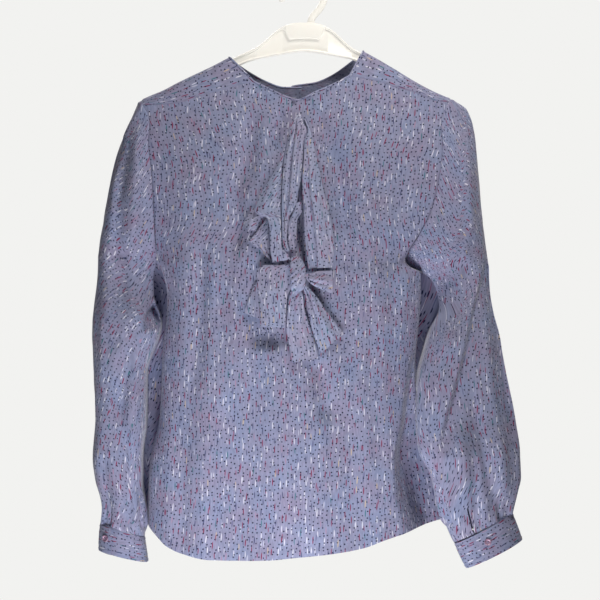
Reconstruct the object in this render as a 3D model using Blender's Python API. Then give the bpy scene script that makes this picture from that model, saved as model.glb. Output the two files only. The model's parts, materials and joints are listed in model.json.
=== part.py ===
"""Tie neck blouse on a plastic hanger.

The blouse hangs on the hanger, seen from -Y, with +X to the right and +Z up.
All sizes in the tables are millimetres in the part's own frame, whose origin
is the inner top of the hanger's hook. Meshes are made in metres.
Cloth is a wall: a grid of outer points, and an inner skin one thickness in.
"""

from collections import namedtuple
from math import cos, pi, radians, sin

import bpy
import numpy as np

MM = 0.001

# Cloth
CLOTH = 1.2
CUFF_CLOTH = 1.8
TIE_CLOTH = 1.4
BINDING_CLOTH = 1.6
KNOT_DEPTH = 9.0
HALF_GAP = 0.28
SEAM_ROLL = 11.0

# Grid counts
FRONT_YOKE_ROWS = 4
BACK_YOKE_ROWS = 8
ARMHOLE_ROWS = 13
LOWER_ROWS = 14
YOKE_COLUMNS = 7
NECK_COLUMNS = 18
SLEEVE_COLUMNS = 28
SLEEVE_MID_ROWS = 7
SLEEVE_LOW_ROWS = 7

# Hanger
HOOK_INNER_RADIUS = 22.5
HOOK_WIDTH = 9.0
HOOK_DEPTH = 6.5
HOOK_FOOT_X = 10.0
HUB_TOP = -57.0
HANGER_DROP = 2.4
NECK_DROP = 1.4
FLANGE = 2.4

# Centre back slit
BACK_SEAM_Z = -214.0
NECK_SHARES = [0.0, 0.07, 0.25, 0.5, 0.76, 1.0]
SLIT_OVERLAP = 13.0
SLIT_STEP = 2.2

COLOURS = {
    "cloth": (0.262, 0.278, 0.434),
    "cloth_in_shade": (0.200, 0.212, 0.350),
    "plastic_white": (0.83, 0.81, 0.76),
    "button": (0.36, 0.20, 0.30),
}

Point = namedtuple("Point", "x z")
Edge = namedtuple("Edge", "z x")
Depth = namedtuple("Depth", "z front back")
Side = namedtuple("Side", "z left_front left_back right_front right_back")
Fold = namedtuple("Fold", "x_top z_top x_end z_end width height")
Step = namedtuple("Step", "z x drop width")
Sleeve = namedtuple("Sleeve", "z inner outer front back")
Strip = namedtuple("Strip", "left_x left_z right_x right_z lift_left lift_right bow")
Arm = namedtuple("Arm", "x height flange web")

# Line of the shoulders over the hanger, carried on to the hub
RIDGE = [
    Point(-206, -156.5), Point(-201, -152.9), Point(-177, -142.5), Point(-159, -133),
    Point(-140, -123.8), Point(-116, -112.5), Point(-92, -100), Point(-56, -83),
    Point(-24, -68), Point(0, -62), Point(29, -68), Point(52, -79.5),
    Point(75.6, -92.5), Point(96, -103.8), Point(115, -115), Point(141, -131),
    Point(165, -143.8), Point(185, -152.5), Point(203, -161), Point(210, -168),
]

# Edges of the body: armhole seam above, side seam below
LEFT_EDGE = [
    Edge(-155.6, -205), Edge(-162.5, -201.5), Edge(-177.5, -194), Edge(-191, -193),
    Edge(-210, -194.5), Edge(-226, -192.5), Edge(-261, -189), Edge(-289, -187.5),
    Edge(-330, -186), Edge(-355, -184.5), Edge(-375, -177.5), Edge(-401, -172),
    Edge(-431, -172.5), Edge(-457, -176), Edge(-520, -178.5), Edge(-557, -181),
    Edge(-590, -189), Edge(-607, -192), Edge(-640, -194.5), Edge(-710, -195),
]
RIGHT_EDGE = [
    Edge(-153.8, 187.5), Edge(-158.8, 183.8), Edge(-170, 177.5), Edge(-185, 173),
    Edge(-210, 175), Edge(-251, 171), Edge(-296, 160), Edge(-325, 146),
    Edge(-345, 134), Edge(-358, 130), Edge(-366, 136), Edge(-372, 150),
    Edge(-402, 149.5), Edge(-451, 145.5), Edge(-487, 142), Edge(-520, 143.5),
    Edge(-552, 149), Edge(-595, 164), Edge(-645, 181), Edge(-690, 190),
]
LEFT_UNDERARM_Z = -355.0
RIGHT_UNDERARM_Z = -372.0

HEM = [
    Point(-195, -691), Point(-182, -703.8), Point(-171, -713.8), Point(-152, -722.5),
    Point(-115, -729.5), Point(-76, -730), Point(-46, -729.5), Point(-5, -725.6),
    Point(39, -721), Point(74, -715), Point(102, -705), Point(127, -697.5),
    Point(154, -689.4), Point(171, -685), Point(190, -681),
]

LEFT_YOKE_SEAM = [
    Point(-201.5, -162.5), Point(-165, -161), Point(-116, -147.5), Point(-97, -142.5),
    Point(-79, -137), Point(-63, -133.5),
]
RIGHT_YOKE_SEAM = [
    Point(60, -126), Point(90, -131.5), Point(119, -141), Point(140, -146.5),
    Point(169, -157.5), Point(183.8, -158.8),
]
FRONT_NECK = [
    Point(-63, -133.5), Point(-37.5, -146.3), Point(-20, -154), Point(-6, -157.6),
    Point(5, -153.4), Point(16, -147.6), Point(31, -141.4), Point(46, -134),
    Point(60, -126),
]
NECK_POINT_LEFT = -94.5
NECK_POINT_RIGHT = 77.5
BACK_NECK_LEFT = [
    Point(-94.5, -102), Point(-72.5, -117.5), Point(-50, -130), Point(-32, -137.4),
    Point(-15, -139.4), Point(-2, -139),
]
BACK_NECK_RIGHT = [
    Point(77.5, -94.5), Point(64, -105), Point(46, -119), Point(29, -127.5),
    Point(8, -135.6), Point(-2, -138.4),
]

# Depths below zero face the front
CENTRE = [
    Depth(-60, -3, 5), Depth(-95, -9, 11), Depth(-125, -14, 17), Depth(-155, -19, 22),
    Depth(-200, -30, 28), Depth(-260, -41, 33), Depth(-330, -48, 37), Depth(-420, -51, 40),
    Depth(-520, -53, 43), Depth(-620, -57, 47), Depth(-730, -62, 50),
]
SIDES = [
    Side(-150, -9.5, 9.5, -9.5, 9.5), Side(-165, -11, 11, -11, 11),
    Side(-200, -17, 16, -17, 17), Side(-260, -22, 19, -24, 24),
    Side(-310, -18, 17, -26, 26), Side(-340, -9, 10, -18, 22),
    Side(-355, -1, -1, -11, 18), Side(-372, -1, -1, 2, 2),
    Side(-430, -1, -1, 5, 5), Side(-520, 0, 0, 12, 12),
    Side(-600, 1, 1, 17, 17), Side(-730, 0, 0, 19, 19),
]

FRONT_FOLDS = [
    Fold(-150, -185, -155, -560, 26, 4.0), Fold(-88, -225, -112, -520, 20, -5.0),
    Fold(-60, -300, -84, -700, 18, -3.5), Fold(50, -215, 58, -520, 16, -5.5),
    Fold(88, -200, 86, -640, 20, 5.5), Fold(118, -240, 104, -420, 16, -4.0),
    Fold(-118, -440, -124, -735, 17, 5.0), Fold(-58, -470, -72, -740, 19, -5.0),
    Fold(4, -470, 20, -735, 26, 5.5), Fold(60, -520, 62, -730, 17, -4.5),
    Fold(-152, -540, -147, -735, 12, -4.0), Fold(-171, -560, -170, -720, 9, 3.0),
    Fold(-152, -300, -60, -250, 15, -2.5), Fold(140, -300, 66, -250, 14, -2.5),
]
BACK_FOLDS = [
    Fold(-110, -230, -118, -735, 22, 5.0), Fold(-60, -220, -66, -735, 18, -5.0),
    Fold(-14, -230, -10, -735, 24, 5.0), Fold(44, -220, 48, -735, 20, -5.5),
    Fold(92, -240, 100, -720, 22, 4.5), Fold(134, -330, 140, -700, 16, -4.0),
    Fold(-150, -330, -156, -700, 14, -4.0),
]

# The front layer folds back along a line below the right underarm
RIGHT_FOLD = [
    Step(-376, 149, 0, 7), Step(-400, 146, 5, 7), Step(-430, 143.5, 11, 7),
    Step(-451, 141, 16, 7), Step(-487, 132.5, 24, 8), Step(-525, 126, 31, 8),
    Step(-567, 120, 36, 9), Step(-606, 112, 38, 12), Step(-640, 112, 36, 24),
    Step(-690, 118, 32, 44), Step(-740, 120, 32, 50),
]

# Front armhole side of each sleeve, cap above and tube below
LEFT_CAP = [
    Edge(-157, -208), Edge(-176, -216), Edge(-209, -230), Edge(-257, -242.5),
    Edge(-329, -256), Edge(-352, -259),
]
RIGHT_CAP = [
    Edge(-157, 193), Edge(-166, 206.5), Edge(-189, 215), Edge(-216, 219),
    Edge(-249, 221.5), Edge(-282, 224), Edge(-325, 229), Edge(-365, 235),
]
LEFT_SLEEVE = [
    Sleeve(-355, -184.5, -259, -34, 34), Sleeve(-376, -189, -262, -37, 35),
    Sleeve(-400, -188, -265, -40, 36), Sleeve(-434, -179, -266, -42, 35),
    Sleeve(-454, -182, -266, -42, 34), Sleeve(-474, -190, -265, -42, 33),
    Sleeve(-495, -197, -264, -42, 31), Sleeve(-557, -198, -262, -42, 28),
    Sleeve(-607, -203, -265, -41, 25), Sleeve(-639, -203, -261, -38, 24),
    Sleeve(-662, -200, -252, -35, 24), Sleeve(-700, -199, -254, -32, 24),
]
RIGHT_SLEEVE = [
    Sleeve(-372, 150, 235, -36, 40), Sleeve(-380, 161, 236, -38, 40),
    Sleeve(-396, 169, 239, -42, 38), Sleeve(-416, 172, 242, -46, 34),
    Sleeve(-445, 160, 246, -52, 26), Sleeve(-467, 153.5, 249, -57, 18),
    Sleeve(-511, 143, 256, -68, 2), Sleeve(-559, 140, 265, -76, -12),
    Sleeve(-594, 143, 269.5, -80, -19), Sleeve(-625, 158, 270, -80, -21),
    Sleeve(-662, 166, 262, -77, -22), Sleeve(-700, 176, 258, -73, -22),
]
LEFT_SLEEVE_FOLDS = [
    Fold(-205, -185, -212, -330, 9, 6.0), Fold(-222, -215, -232, -290, 8, -6.0),
    Fold(-232, -290, -224, -420, 9, -7.0), Fold(-246, -330, -250, -600, 9, 5.0),
    Fold(-212, -440, -228, -560, 8, -5.0), Fold(-232, -500, -214, -690, 8, -6.0),
    Fold(-250, -600, -241, -660, 6, -5.0),
]
RIGHT_SLEEVE_FOLDS = [
    Fold(206, -200, 212, -330, 10, 6.0), Fold(190, -230, 172, -340, 9, -5.0),
    Fold(228, -380, 236, -560, 9, 6.0), Fold(190, -400, 172, -480, 9, 5.0),
    Fold(214, -540, 236, -670, 8, -6.0), Fold(240, -560, 250, -655, 8, 5.0),
    Fold(192, -560, 202, -680, 8, 4.5),
]
LEFT_SLEEVE_STEP = [
    Step(-350, -191, 0, 4), Step(-364, -199, 12, 5), Step(-385, -193, 26, 5),
    Step(-405, -190, 30, 5), Step(-425, -200, 24, 5), Step(-446, -204, 0, 5),
]
RIGHT_SLEEVE_STEP = [
    Step(-335, 233, 0, 6), Step(-365, 226, 8, 6), Step(-429, 207.5, 14, 6),
    Step(-480, 195, 16, 6), Step(-515, 185, 16, 6), Step(-557, 173, 12, 6),
    Step(-600, 160, 0, 6),
]

# Cuffs: the four corners of each band as seen from the front
Cuff = namedtuple(
    "Cuff", "top_left top_right bottom_left bottom_right front back start end over slit_depth"
)
LEFT_CUFF = Cuff(
    Point(-254.5, -689), Point(-199.5, -706), Point(-256.5, -722.5), Point(-195, -737.5),
    -31, 25, 0.42, 2 * pi + 1.10, "end", 34,
)
RIGHT_CUFF = Cuff(
    Point(187.5, -709), Point(260, -671), Point(202, -740), Point(272.5, -704),
    -73, -21, 1.22, 2 * pi + 1.95, "start", 26,
)
GATHERS = 7
GATHER_HEIGHT = 3.2
GATHER_REACH = 62.0

# Stretches of the tie, each row from its left edge to its right edge, with
# its height over the front panel at both edges and the rise between them
STRAND_LEFT = [
    Strip(-23, -214, -21.4, -214, 0.9, 0.9, 0.1), Strip(-28.5, -231, -24.6, -231, 1.2, 1.6, 0.6),
    Strip(-37.5, -251, -26.4, -251, 2.0, 3.6, 2.0), Strip(-52.5, -276, -27.2, -276, 4.0, 5.0, 3.4),
    Strip(-60, -297, -27.4, -299, 6.5, 5.5, 4.0), Strip(-44, -307, -27.2, -308, 9.5, 7.0, 2.0),
    Strip(-41, -324, -27, -324, 9.8, 8.6, 1.6), Strip(-40.6, -341, -26.6, -341, 9.6, 9.0, 1.2),
    Strip(-39.5, -352, -19.4, -350.5, 9.5, 9.8, 0.8),
    Strip(-37.5, -361, -15.1, -357.5, 9.6, 9.4, 0.0),
]
ROLL_LEFT = [
    Strip(-62.5, -292.5, -46, -301, 0.8, 1.0, 1.2), Strip(-68, -301.5, -54, -309, 0.9, 1.0, 3.2),
    Strip(-73, -309.5, -57, -317.5, 1.0, 1.0, 4.6), Strip(-74.5, -317.5, -58, -322, 1.0, 1.0, 5.4),
]
FOLD_LEFT = [
    Strip(-53, -316, -43.5, -304, 0.8, 0.8, 0.4), Strip(-61, -327, -43, -322, 0.8, 0.9, 0.6),
    Strip(-66, -334, -42.4, -337, 0.8, 1.2, 0.8), Strip(-53, -345.5, -41.8, -350, 0.9, 1.8, 0.4),
    Strip(-42, -357.5, -38.6, -360.5, 1.2, 1.8, 0.0),
]
STRAND_CENTRE = [
    Strip(-7.5, -175.5, -2.5, -175.5, 0.7, 0.7, 0.2), Strip(-13.8, -185, 0, -185, 0.9, 0.9, 1.6),
    Strip(-16.9, -195, 4.5, -195, 1.2, 1.0, 3.0), Strip(-20, -213.8, 0.5, -213.8, 2.4, 2.0, 4.0),
    Strip(-23.6, -232.5, -0.4, -232.5, 4.6, 2.4, 3.5), Strip(-25.2, -255, -2.4, -255, 6.5, 3.0, 3.0),
    Strip(-26, -276, -6, -276, 8.0, 2.5, 2.5), Strip(-26.2, -291, -9, -291, 8.5, 2.5, 1.8),
    Strip(-25.8, -306, -17.5, -306, 8.5, 3.5, 1.0), Strip(-25.4, -332, -20.2, -332, 7.0, 5.0, 0.4),
    Strip(-22, -347, -16.6, -347, 8.5, 8.0, 0.2),
]
STRAND_CROSS = [
    Strip(-8.2, -286, -1.6, -286, 0.9, 0.9, 0.2), Strip(-11.6, -297.5, -1.4, -297.5, 1.0, 1.2, 0.8),
    Strip(-15.4, -306, -6.6, -306.5, 1.6, 1.6, 1.2), Strip(-18.6, -317.5, -8, -317.5, 2.4, 2.4, 1.6),
    Strip(-18.8, -332.5, -8.6, -332.5, 3.4, 3.2, 1.8), Strip(-16.4, -345, -10.6, -345, 6.0, 5.6, 1.0),
]
STRAND_RIGHT = [
    Strip(1.2, -181, 3.2, -181, 0.7, 0.7, 0.1), Strip(6.0, -195, 9, -195, 0.8, 0.9, 0.4),
    Strip(1.6, -211, 12.8, -211, 1.6, 1.4, 1.6), Strip(0.9, -232.5, 17.5, -232.5, 4.0, 2.0, 2.6),
    Strip(-0.9, -255, 22, -255, 6.0, 2.4, 2.6), Strip(-0.6, -276, 26.5, -276, 6.5, 2.8, 2.4),
    Strip(1.4, -296, 31.4, -296, 6.5, 3.4, 2.4), Strip(1.6, -321, 36.8, -321, 6.0, 4.0, 2.6),
    Strip(3.8, -345, 38.6, -343, 5.6, 5.0, 2.0), Strip(6.4, -368.5, 36.2, -367, 5.0, 7.5, 0.8),
]
FOLD_RIGHT = [
    Strip(3.2, -375.2, 3.4, -381, 7.8, 7.8, 0.2), Strip(10, -374.6, 12.5, -389, 6.2, 6.4, 1.4),
    Strip(18.4, -372, 22.4, -394, 5.0, 5.4, 2.4), Strip(27.4, -371.4, 30, -397.4, 4.2, 4.6, 2.4),
    Strip(36, -371, 36.6, -399.6, 3.4, 3.6, 1.6),
]
KNOT = [
    Strip(-14.4, -353.6, -5, -353.6, 10.8, 8.4, 1.0), Strip(-15.8, -361, 0.6, -361, 11.8, 9.4, 2.6),
    Strip(-15.8, -371, 3.2, -371, 12.4, 9.8, 4.0), Strip(-15.8, -382, 3.2, -382, 12.4, 9.8, 4.2),
    Strip(-15.4, -391, 1.8, -391, 11.6, 9.4, 3.0), Strip(-14, -397, -1.6, -397, 10.4, 8.6, 1.2),
]
TIP_LEFT = [
    Strip(-60, -386, -50, -386, 0.9, 0.9, 0.2), Strip(-64, -397, -50, -399, 0.9, 0.9, 0.6),
    Strip(-69, -411, -48.5, -417, 0.9, 0.9, 1.0), Strip(-73, -423.5, -46, -434, 0.9, 0.9, 1.0),
]
TAIL_CENTRE = [
    Strip(-15.6, -397.3, -1, -397.3, 7.6, 5.8, 1.4), Strip(-17.6, -407, 0.4, -407, 5.6, 4.6, 1.8),
    Strip(-18.8, -420, 2, -420, 4.0, 3.0, 2.0), Strip(-19.8, -434, 6.6, -434, 3.0, 1.6, 1.8),
    Strip(-20, -446, 10.4, -446, 2.6, 0.8, 1.6), Strip(-18, -457.5, 14, -457.5, 2.4, 0.6, 1.6),
    Strip(-15.4, -471, 18.4, -470.5, 2.6, 0.6, 1.6), Strip(-13.8, -485, 18, -480, 2.8, 0.7, 1.4),
]
TAIL_RIGHT = [
    Strip(0.4, -393, 4.6, -389.6, 7.4, 7.6, 0.4), Strip(4.2, -408, 15.4, -401.5, 5.6, 5.6, 1.2),
    Strip(8, -429, 27.5, -419.5, 5.4, 4.2, 2.0), Strip(13.2, -451, 40, -435, 4.6, 3.4, 2.4),
    Strip(21.9, -473.5, 50.9, -449.6, 4.2, 3.2, 2.0),
]
# The loop is a flattened tube, open below: left, right, back and front lifts
LOOP = [
    Strip(-48.5, -364, -13.8, -364, 3.4, 7.0, 0), Strip(-57, -371, -13.1, -371, 2.6, 8.2, 0),
    Strip(-57.6, -388, -13.4, -388, 1.8, 10, 0), Strip(-55.4, -403, -19.4, -403, 1.2, 11.5, 0),
    Strip(-54, -416, -20.6, -416, 0.8, 11.5, 0), Strip(-53.2, -434, -21.4, -433, 0.8, 11.5, 0),
    Strip(-52.8, -440, -22.4, -442, 0.8, 11, 0),
]

# Hanger arms along X: height, half depth of the flanges, half depth of the web
HANGER_ARMS = [
    Arm(-196, 6, 2.2, 2.2), Arm(-192, 9.5, 3.2, 1.6), Arm(-176, 11.5, 3.4, 1.6),
    Arm(-140, 12, 3.6, 1.6), Arm(-100, 12.5, 3.8, 1.6), Arm(-73, 13.5, 4, 1.6),
    Arm(-50, 17, 4, 1.6), Arm(-26, 20, 4, 1.8), Arm(-21, 20, 5, 4.6),
    Arm(0, 20, 5, 4.6), Arm(26, 20, 5, 4.6), Arm(31, 20, 4, 1.8), Arm(50, 17.5, 4, 1.6),
    Arm(73, 13.5, 4, 1.6), Arm(100, 12.5, 3.8, 1.6), Arm(140, 12, 3.6, 1.6),
    Arm(172, 11.5, 3.4, 1.6), Arm(183, 9.5, 3.2, 1.6), Arm(186, 7, 2.6, 2.6),
]


def clear_scene():
    """Remove whatever is in the scene."""
    for item in list(bpy.data.objects):
        bpy.data.objects.remove(item, do_unlink=True)


def material(name, colour, roughness):
    """Principled material with one colour."""
    made = bpy.data.materials.get(name)
    if made is None:
        made = bpy.data.materials.new(name)
        made.use_nodes = True
        shader = made.node_tree.nodes["Principled BSDF"]
        shader.inputs["Base Color"].default_value = (*colour, 1.0)
        shader.inputs["Roughness"].default_value = roughness
        shader.inputs["Metallic"].default_value = 0.0
    return made


def column(rows, name):
    """One named column of a table, as an array."""
    return np.array([getattr(row, name) for row in rows], float)


def curve(rows, key, value, at):
    """Smooth curve through two columns of a table, read at any places."""
    xs = column(rows, key)
    ys = column(rows, value)
    order = np.argsort(xs)
    xs = xs[order]
    ys = ys[order]
    at = np.clip(np.asarray(at, float), xs[0], xs[-1])
    step = np.diff(xs)
    slope = np.diff(ys) / step
    same = slope[:-1] * slope[1:] > 0
    inner = np.where(same, 2 * slope[:-1] * slope[1:] / (slope[:-1] + slope[1:] + 1e-12), 0.0)
    tangent = np.concatenate([[slope[0]], inner, [slope[-1]]])
    cell = np.clip(np.searchsorted(xs, at) - 1, 0, len(step) - 1)
    wide = step[cell]
    t = (at - xs[cell]) / wide
    return (
        ys[cell] * (1 + 2 * t) * (1 - t) ** 2
        + tangent[cell] * wide * t * (1 - t) ** 2
        + ys[cell + 1] * t * t * (3 - 2 * t)
        + tangent[cell + 1] * wide * t * t * (t - 1)
    )


def smooth(low, high, value):
    """Smooth step from 0 at low to 1 at high."""
    t = np.clip((np.asarray(value, float) - low) / (high - low), 0.0, 1.0)
    return t * t * (3 - 2 * t)


def ridge(x):
    """Height of the shoulder line at x."""
    return curve(RIDGE, "x", "z", x)


def folds_at(folds, x, z):
    """Sum of soft ridges and troughs, each fading towards both its ends."""
    total = np.zeros_like(np.asarray(x, float) + np.asarray(z, float))
    for fold in folds:
        along = np.array([fold.x_end - fold.x_top, fold.z_end - fold.z_top], float)
        length = np.hypot(*along)
        along /= length
        run = ((x - fold.x_top) * along[0] + (z - fold.z_top) * along[1]) / length
        side = (x - fold.x_top) * along[1] - (z - fold.z_top) * along[0]
        ends = smooth(-0.08, 0.25, run) * (1 - smooth(0.75, 1.08, run))
        total = total + fold.height * ends * np.exp(-((side / fold.width) ** 2))
    return total


def step_at(steps, x, z):
    """Depth lost right of a fold's edge, whose place and drop change with height."""
    edge = curve(steps, "z", "x", z)
    drop = curve(steps, "z", "drop", z)
    width = curve(steps, "z", "width", z)
    return drop * smooth(0, 1, (x - edge) / width)


def body_depth(x, z, front):
    """Depth of the body's outer surface at x and z, front or back."""
    left = curve(LEFT_EDGE, "z", "x", z)
    right = curve(RIGHT_EDGE, "z", "x", z)
    across = np.clip((x - (left + right) / 2) / ((right - left) / 2), -1, 1)
    word = "front" if front else "back"
    centre = curve(CENTRE, "z", word, z)
    left_side = curve(SIDES, "z", "left_" + word, z)
    right_side = curve(SIDES, "z", "right_" + word, z)
    side = left_side + (right_side - left_side) * smooth(-1, 1, across)
    under = smooth(-300, -385, z)
    power = 1.0 + (1 / 2.6 - 1.0) * under
    body = np.clip(1 - np.abs(across) ** 2.6, 0, 1) ** power
    depth = side + (centre - side) * body
    below = ridge(x) - z
    roll = np.sqrt(np.clip(1 - (1 - np.clip(below / SEAM_ROLL, 0, 1)) ** 2, 0, 1))
    fade = smooth(8, 60, below) * (1 - np.abs(across) ** 6)
    if front:
        depth = depth - folds_at(FRONT_FOLDS, x, z) * fade
        depth = depth + step_at(RIGHT_FOLD, x, z) * (1 - np.abs(across) ** 10)
    else:
        depth = depth + folds_at(BACK_FOLDS, x, z) * fade
    return depth * roll


def surface(x, z, front):
    """Points of the body's outer surface."""
    x, z = np.broadcast_arrays(np.asarray(x, float), np.asarray(z, float))
    return np.stack([x, body_depth(x, z, front), z], axis=-1)


class Sheet:
    """Outer skin of one piece of cloth: points, faces and outward normals."""

    def __init__(self, grid, keep=None, ids=None, flip=False):
        rows, cols = grid.shape[:2]
        self.points = grid.reshape(-1, 3).copy()
        self.ids = np.arange(rows * cols).reshape(rows, cols) if ids is None else ids
        self.faces = []
        for r in range(rows - 1):
            for c in range(cols - 1):
                if keep is not None and not keep(r, c):
                    continue
                face = [self.ids[r, c], self.ids[r + 1, c], self.ids[r + 1, c + 1], self.ids[r, c + 1]]
                face = [int(v) for k, v in enumerate(face) if v != face[k - 1]]
                if len(face) >= 3:
                    self.faces.append(face[::-1] if flip else face)
        self.normals = self.vertex_normals()

    def vertex_normals(self):
        """Area weighted normals of the faces round each point."""
        normals = np.zeros_like(self.points)
        for face in self.faces:
            p = self.points[face]
            normal = sum(np.cross(p[k] - p[0], p[k + 1] - p[0]) for k in range(1, len(face) - 1))
            normals[face] += normal
        return normals / np.maximum(np.linalg.norm(normals, axis=1, keepdims=True), 1e-12)

    def border(self):
        """Directed edges that have a face on their left side alone."""
        edges = set()
        for face in self.faces:
            for a, b in zip(face, face[1:] + face[:1]):
                edges.add((a, b))
        return [edge for edge in sorted(edges) if (edge[1], edge[0]) not in edges]

    def inward(self):
        """Unit vectors at the border that point into the sheet."""
        pull = np.zeros_like(self.points)
        for a, b in self.border():
            line = self.points[b] - self.points[a]
            for v in (a, b):
                way = np.cross(self.normals[v], line)
                pull[v] += way / max(np.linalg.norm(way), 1e-12)
        size = np.linalg.norm(pull, axis=1, keepdims=True)
        return np.where(size > 0, pull / np.maximum(size, 1e-12), 0.0)


def share_seam(first, first_ids, second, second_ids):
    """Give both sides of a seam one normal, so that their walls meet square."""
    joined = first.normals[first_ids] + second.normals[second_ids]
    joined /= np.maximum(np.linalg.norm(joined, axis=1, keepdims=True), 1e-12)
    first.normals[first_ids] = joined
    second.normals[second_ids] = joined


def new_object(name, vertices, faces, colour, roughness):
    """Mesh object from millimetre points."""
    mesh = bpy.data.meshes.new(name)
    mesh.from_pydata([tuple(v) for v in np.asarray(vertices) * MM], [], faces)
    mesh.validate()
    mesh.materials.append(material(colour, COLOURS[colour], roughness))
    mesh.shade_smooth()
    made = bpy.data.objects.new(name, mesh)
    bpy.context.scene.collection.objects.link(made)
    return made


def wall(name, sheet, thickness, gap=HALF_GAP, colour="cloth", roughness=0.62):
    """Close a sheet into a wall with an inner skin and rims."""
    outer = sheet.points + sheet.inward() * gap
    inner = outer - sheet.normals * thickness
    count = len(outer)
    faces = [list(face) for face in sheet.faces]
    faces += [[v + count for v in reversed(face)] for face in sheet.faces]
    faces += [[b, a, a + count, b + count] for a, b in sheet.border()]
    used = sorted({v for face in faces for v in face})
    place = {v: k for k, v in enumerate(used)}
    vertices = np.concatenate([outer, inner])[used]
    faces = [[place[v] for v in face] for face in faces]
    return new_object(name, vertices, faces, colour, roughness)


def armhole(left):
    """Front and back armhole points from the shoulder ridge to the underarm."""
    edges = LEFT_EDGE if left else RIGHT_EDGE
    top = edges[0]
    seam_z = (LEFT_YOKE_SEAM[0] if left else RIGHT_YOKE_SEAM[-1]).z
    under_z = LEFT_UNDERARM_Z if left else RIGHT_UNDERARM_Z
    short = np.array([0, 0.08, 0.26, 0.56, 1.0])
    front_z = list(top.z + (seam_z - top.z) * short)
    front_left = ARMHOLE_ROWS - FRONT_YOKE_ROWS
    front_z += list(seam_z + (under_z - seam_z) * np.linspace(0, 1, front_left + 1)[1:])
    long = np.array([0, 0.02, 0.07, 0.15, 0.26, 0.4, 0.58, 0.78, 1.0])
    back_z = list(top.z + (BACK_SEAM_Z - top.z) * long)
    back_left = ARMHOLE_ROWS - BACK_YOKE_ROWS
    back_z += list(BACK_SEAM_Z + (under_z - BACK_SEAM_Z) * np.linspace(0, 1, back_left + 1)[1:])
    result = []
    for heights, front in ((front_z, True), (back_z, False)):
        heights = np.array(heights)
        x = curve(edges, "z", "x", heights)
        z = np.minimum(heights, ridge(x))
        result.append(surface(x, z, front))
    for points in result:
        points[0, 1] = 0.0
    result[1][0] = result[0][0]
    result[1][-1] = result[0][-1]
    return result


def yoke_sheet(left):
    """Half yoke: front seam, over the shoulder, down the back to its seam."""
    seam = LEFT_YOKE_SEAM if left else RIGHT_YOKE_SEAM[::-1]
    neck_x = NECK_POINT_LEFT if left else NECK_POINT_RIGHT
    neck_path = BACK_NECK_LEFT if left else BACK_NECK_RIGHT
    front_arm, back_arm = armhole(left)
    part = np.linspace(0, 1, YOKE_COLUMNS + 1)
    seam_x = seam[0].x + (seam[-1].x - seam[0].x) * part
    seam_z = curve(seam, "x", "z", seam_x)
    ridge_x = front_arm[0, 0] + (neck_x - front_arm[0, 0]) * part
    rows = []
    for share in (1.0, 0.5, 0.22, 0.06, 0.0):
        x = ridge_x + (seam_x - ridge_x) * share
        below = (ridge(seam_x) - seam_z) * share
        rows.append(surface(x, ridge(x) - below, True))
    reach = np.array([(neck_path[-1].x - neck_path[0].x) * share for share in NECK_SHARES])
    ends_x = list(neck_path[0].x + reach)
    ends_z = list(curve(neck_path, "x", "z", ends_x))
    slit_rows = BACK_YOKE_ROWS - len(NECK_SHARES) + 1
    overlap = 0.0 if left else SLIT_OVERLAP
    slit = np.linspace(0, 1, slit_rows + 1)[1:]
    slit_x = neck_path[-1].x - overlap * (1 - smooth(0.15, 0.62, slit))
    slit_z = ends_z[-1] + (BACK_SEAM_Z - ends_z[-1]) * slit
    if not left:
        ends_x[-1] -= overlap
    ends_x += list(slit_x)
    ends_z += list(slit_z)
    for row in range(1, BACK_YOKE_ROWS + 1):
        start = back_arm[row]
        x = start[0] + (ends_x[row] - start[0]) * part
        below_start = ridge(start[0]) - start[2]
        below_end = ridge(ends_x[row]) - ends_z[row]
        along_ridge = ridge(x) - (below_start + (below_end - below_start) * part)
        straight = start[2] + (ends_z[row] - start[2]) * part
        z = along_ridge + (straight - along_ridge) * smooth(1, 4, row)
        if row == BACK_YOKE_ROWS:
            z = np.full_like(x, BACK_SEAM_Z)
        points = surface(x, z, False)
        if left:
            near = smooth(-60, -22, x) * (1 - smooth(-192, -212, z))
            points[:, 1] -= SLIT_STEP * near
        rows.append(points)
    grid = np.array(rows)
    for row in range(FRONT_YOKE_ROWS + 1):
        grid[row, 0] = front_arm[FRONT_YOKE_ROWS - row]
    for row in range(1, BACK_YOKE_ROWS + 1):
        grid[FRONT_YOKE_ROWS + row, 0] = back_arm[row]
    return Sheet(grid, flip=left)


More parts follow.
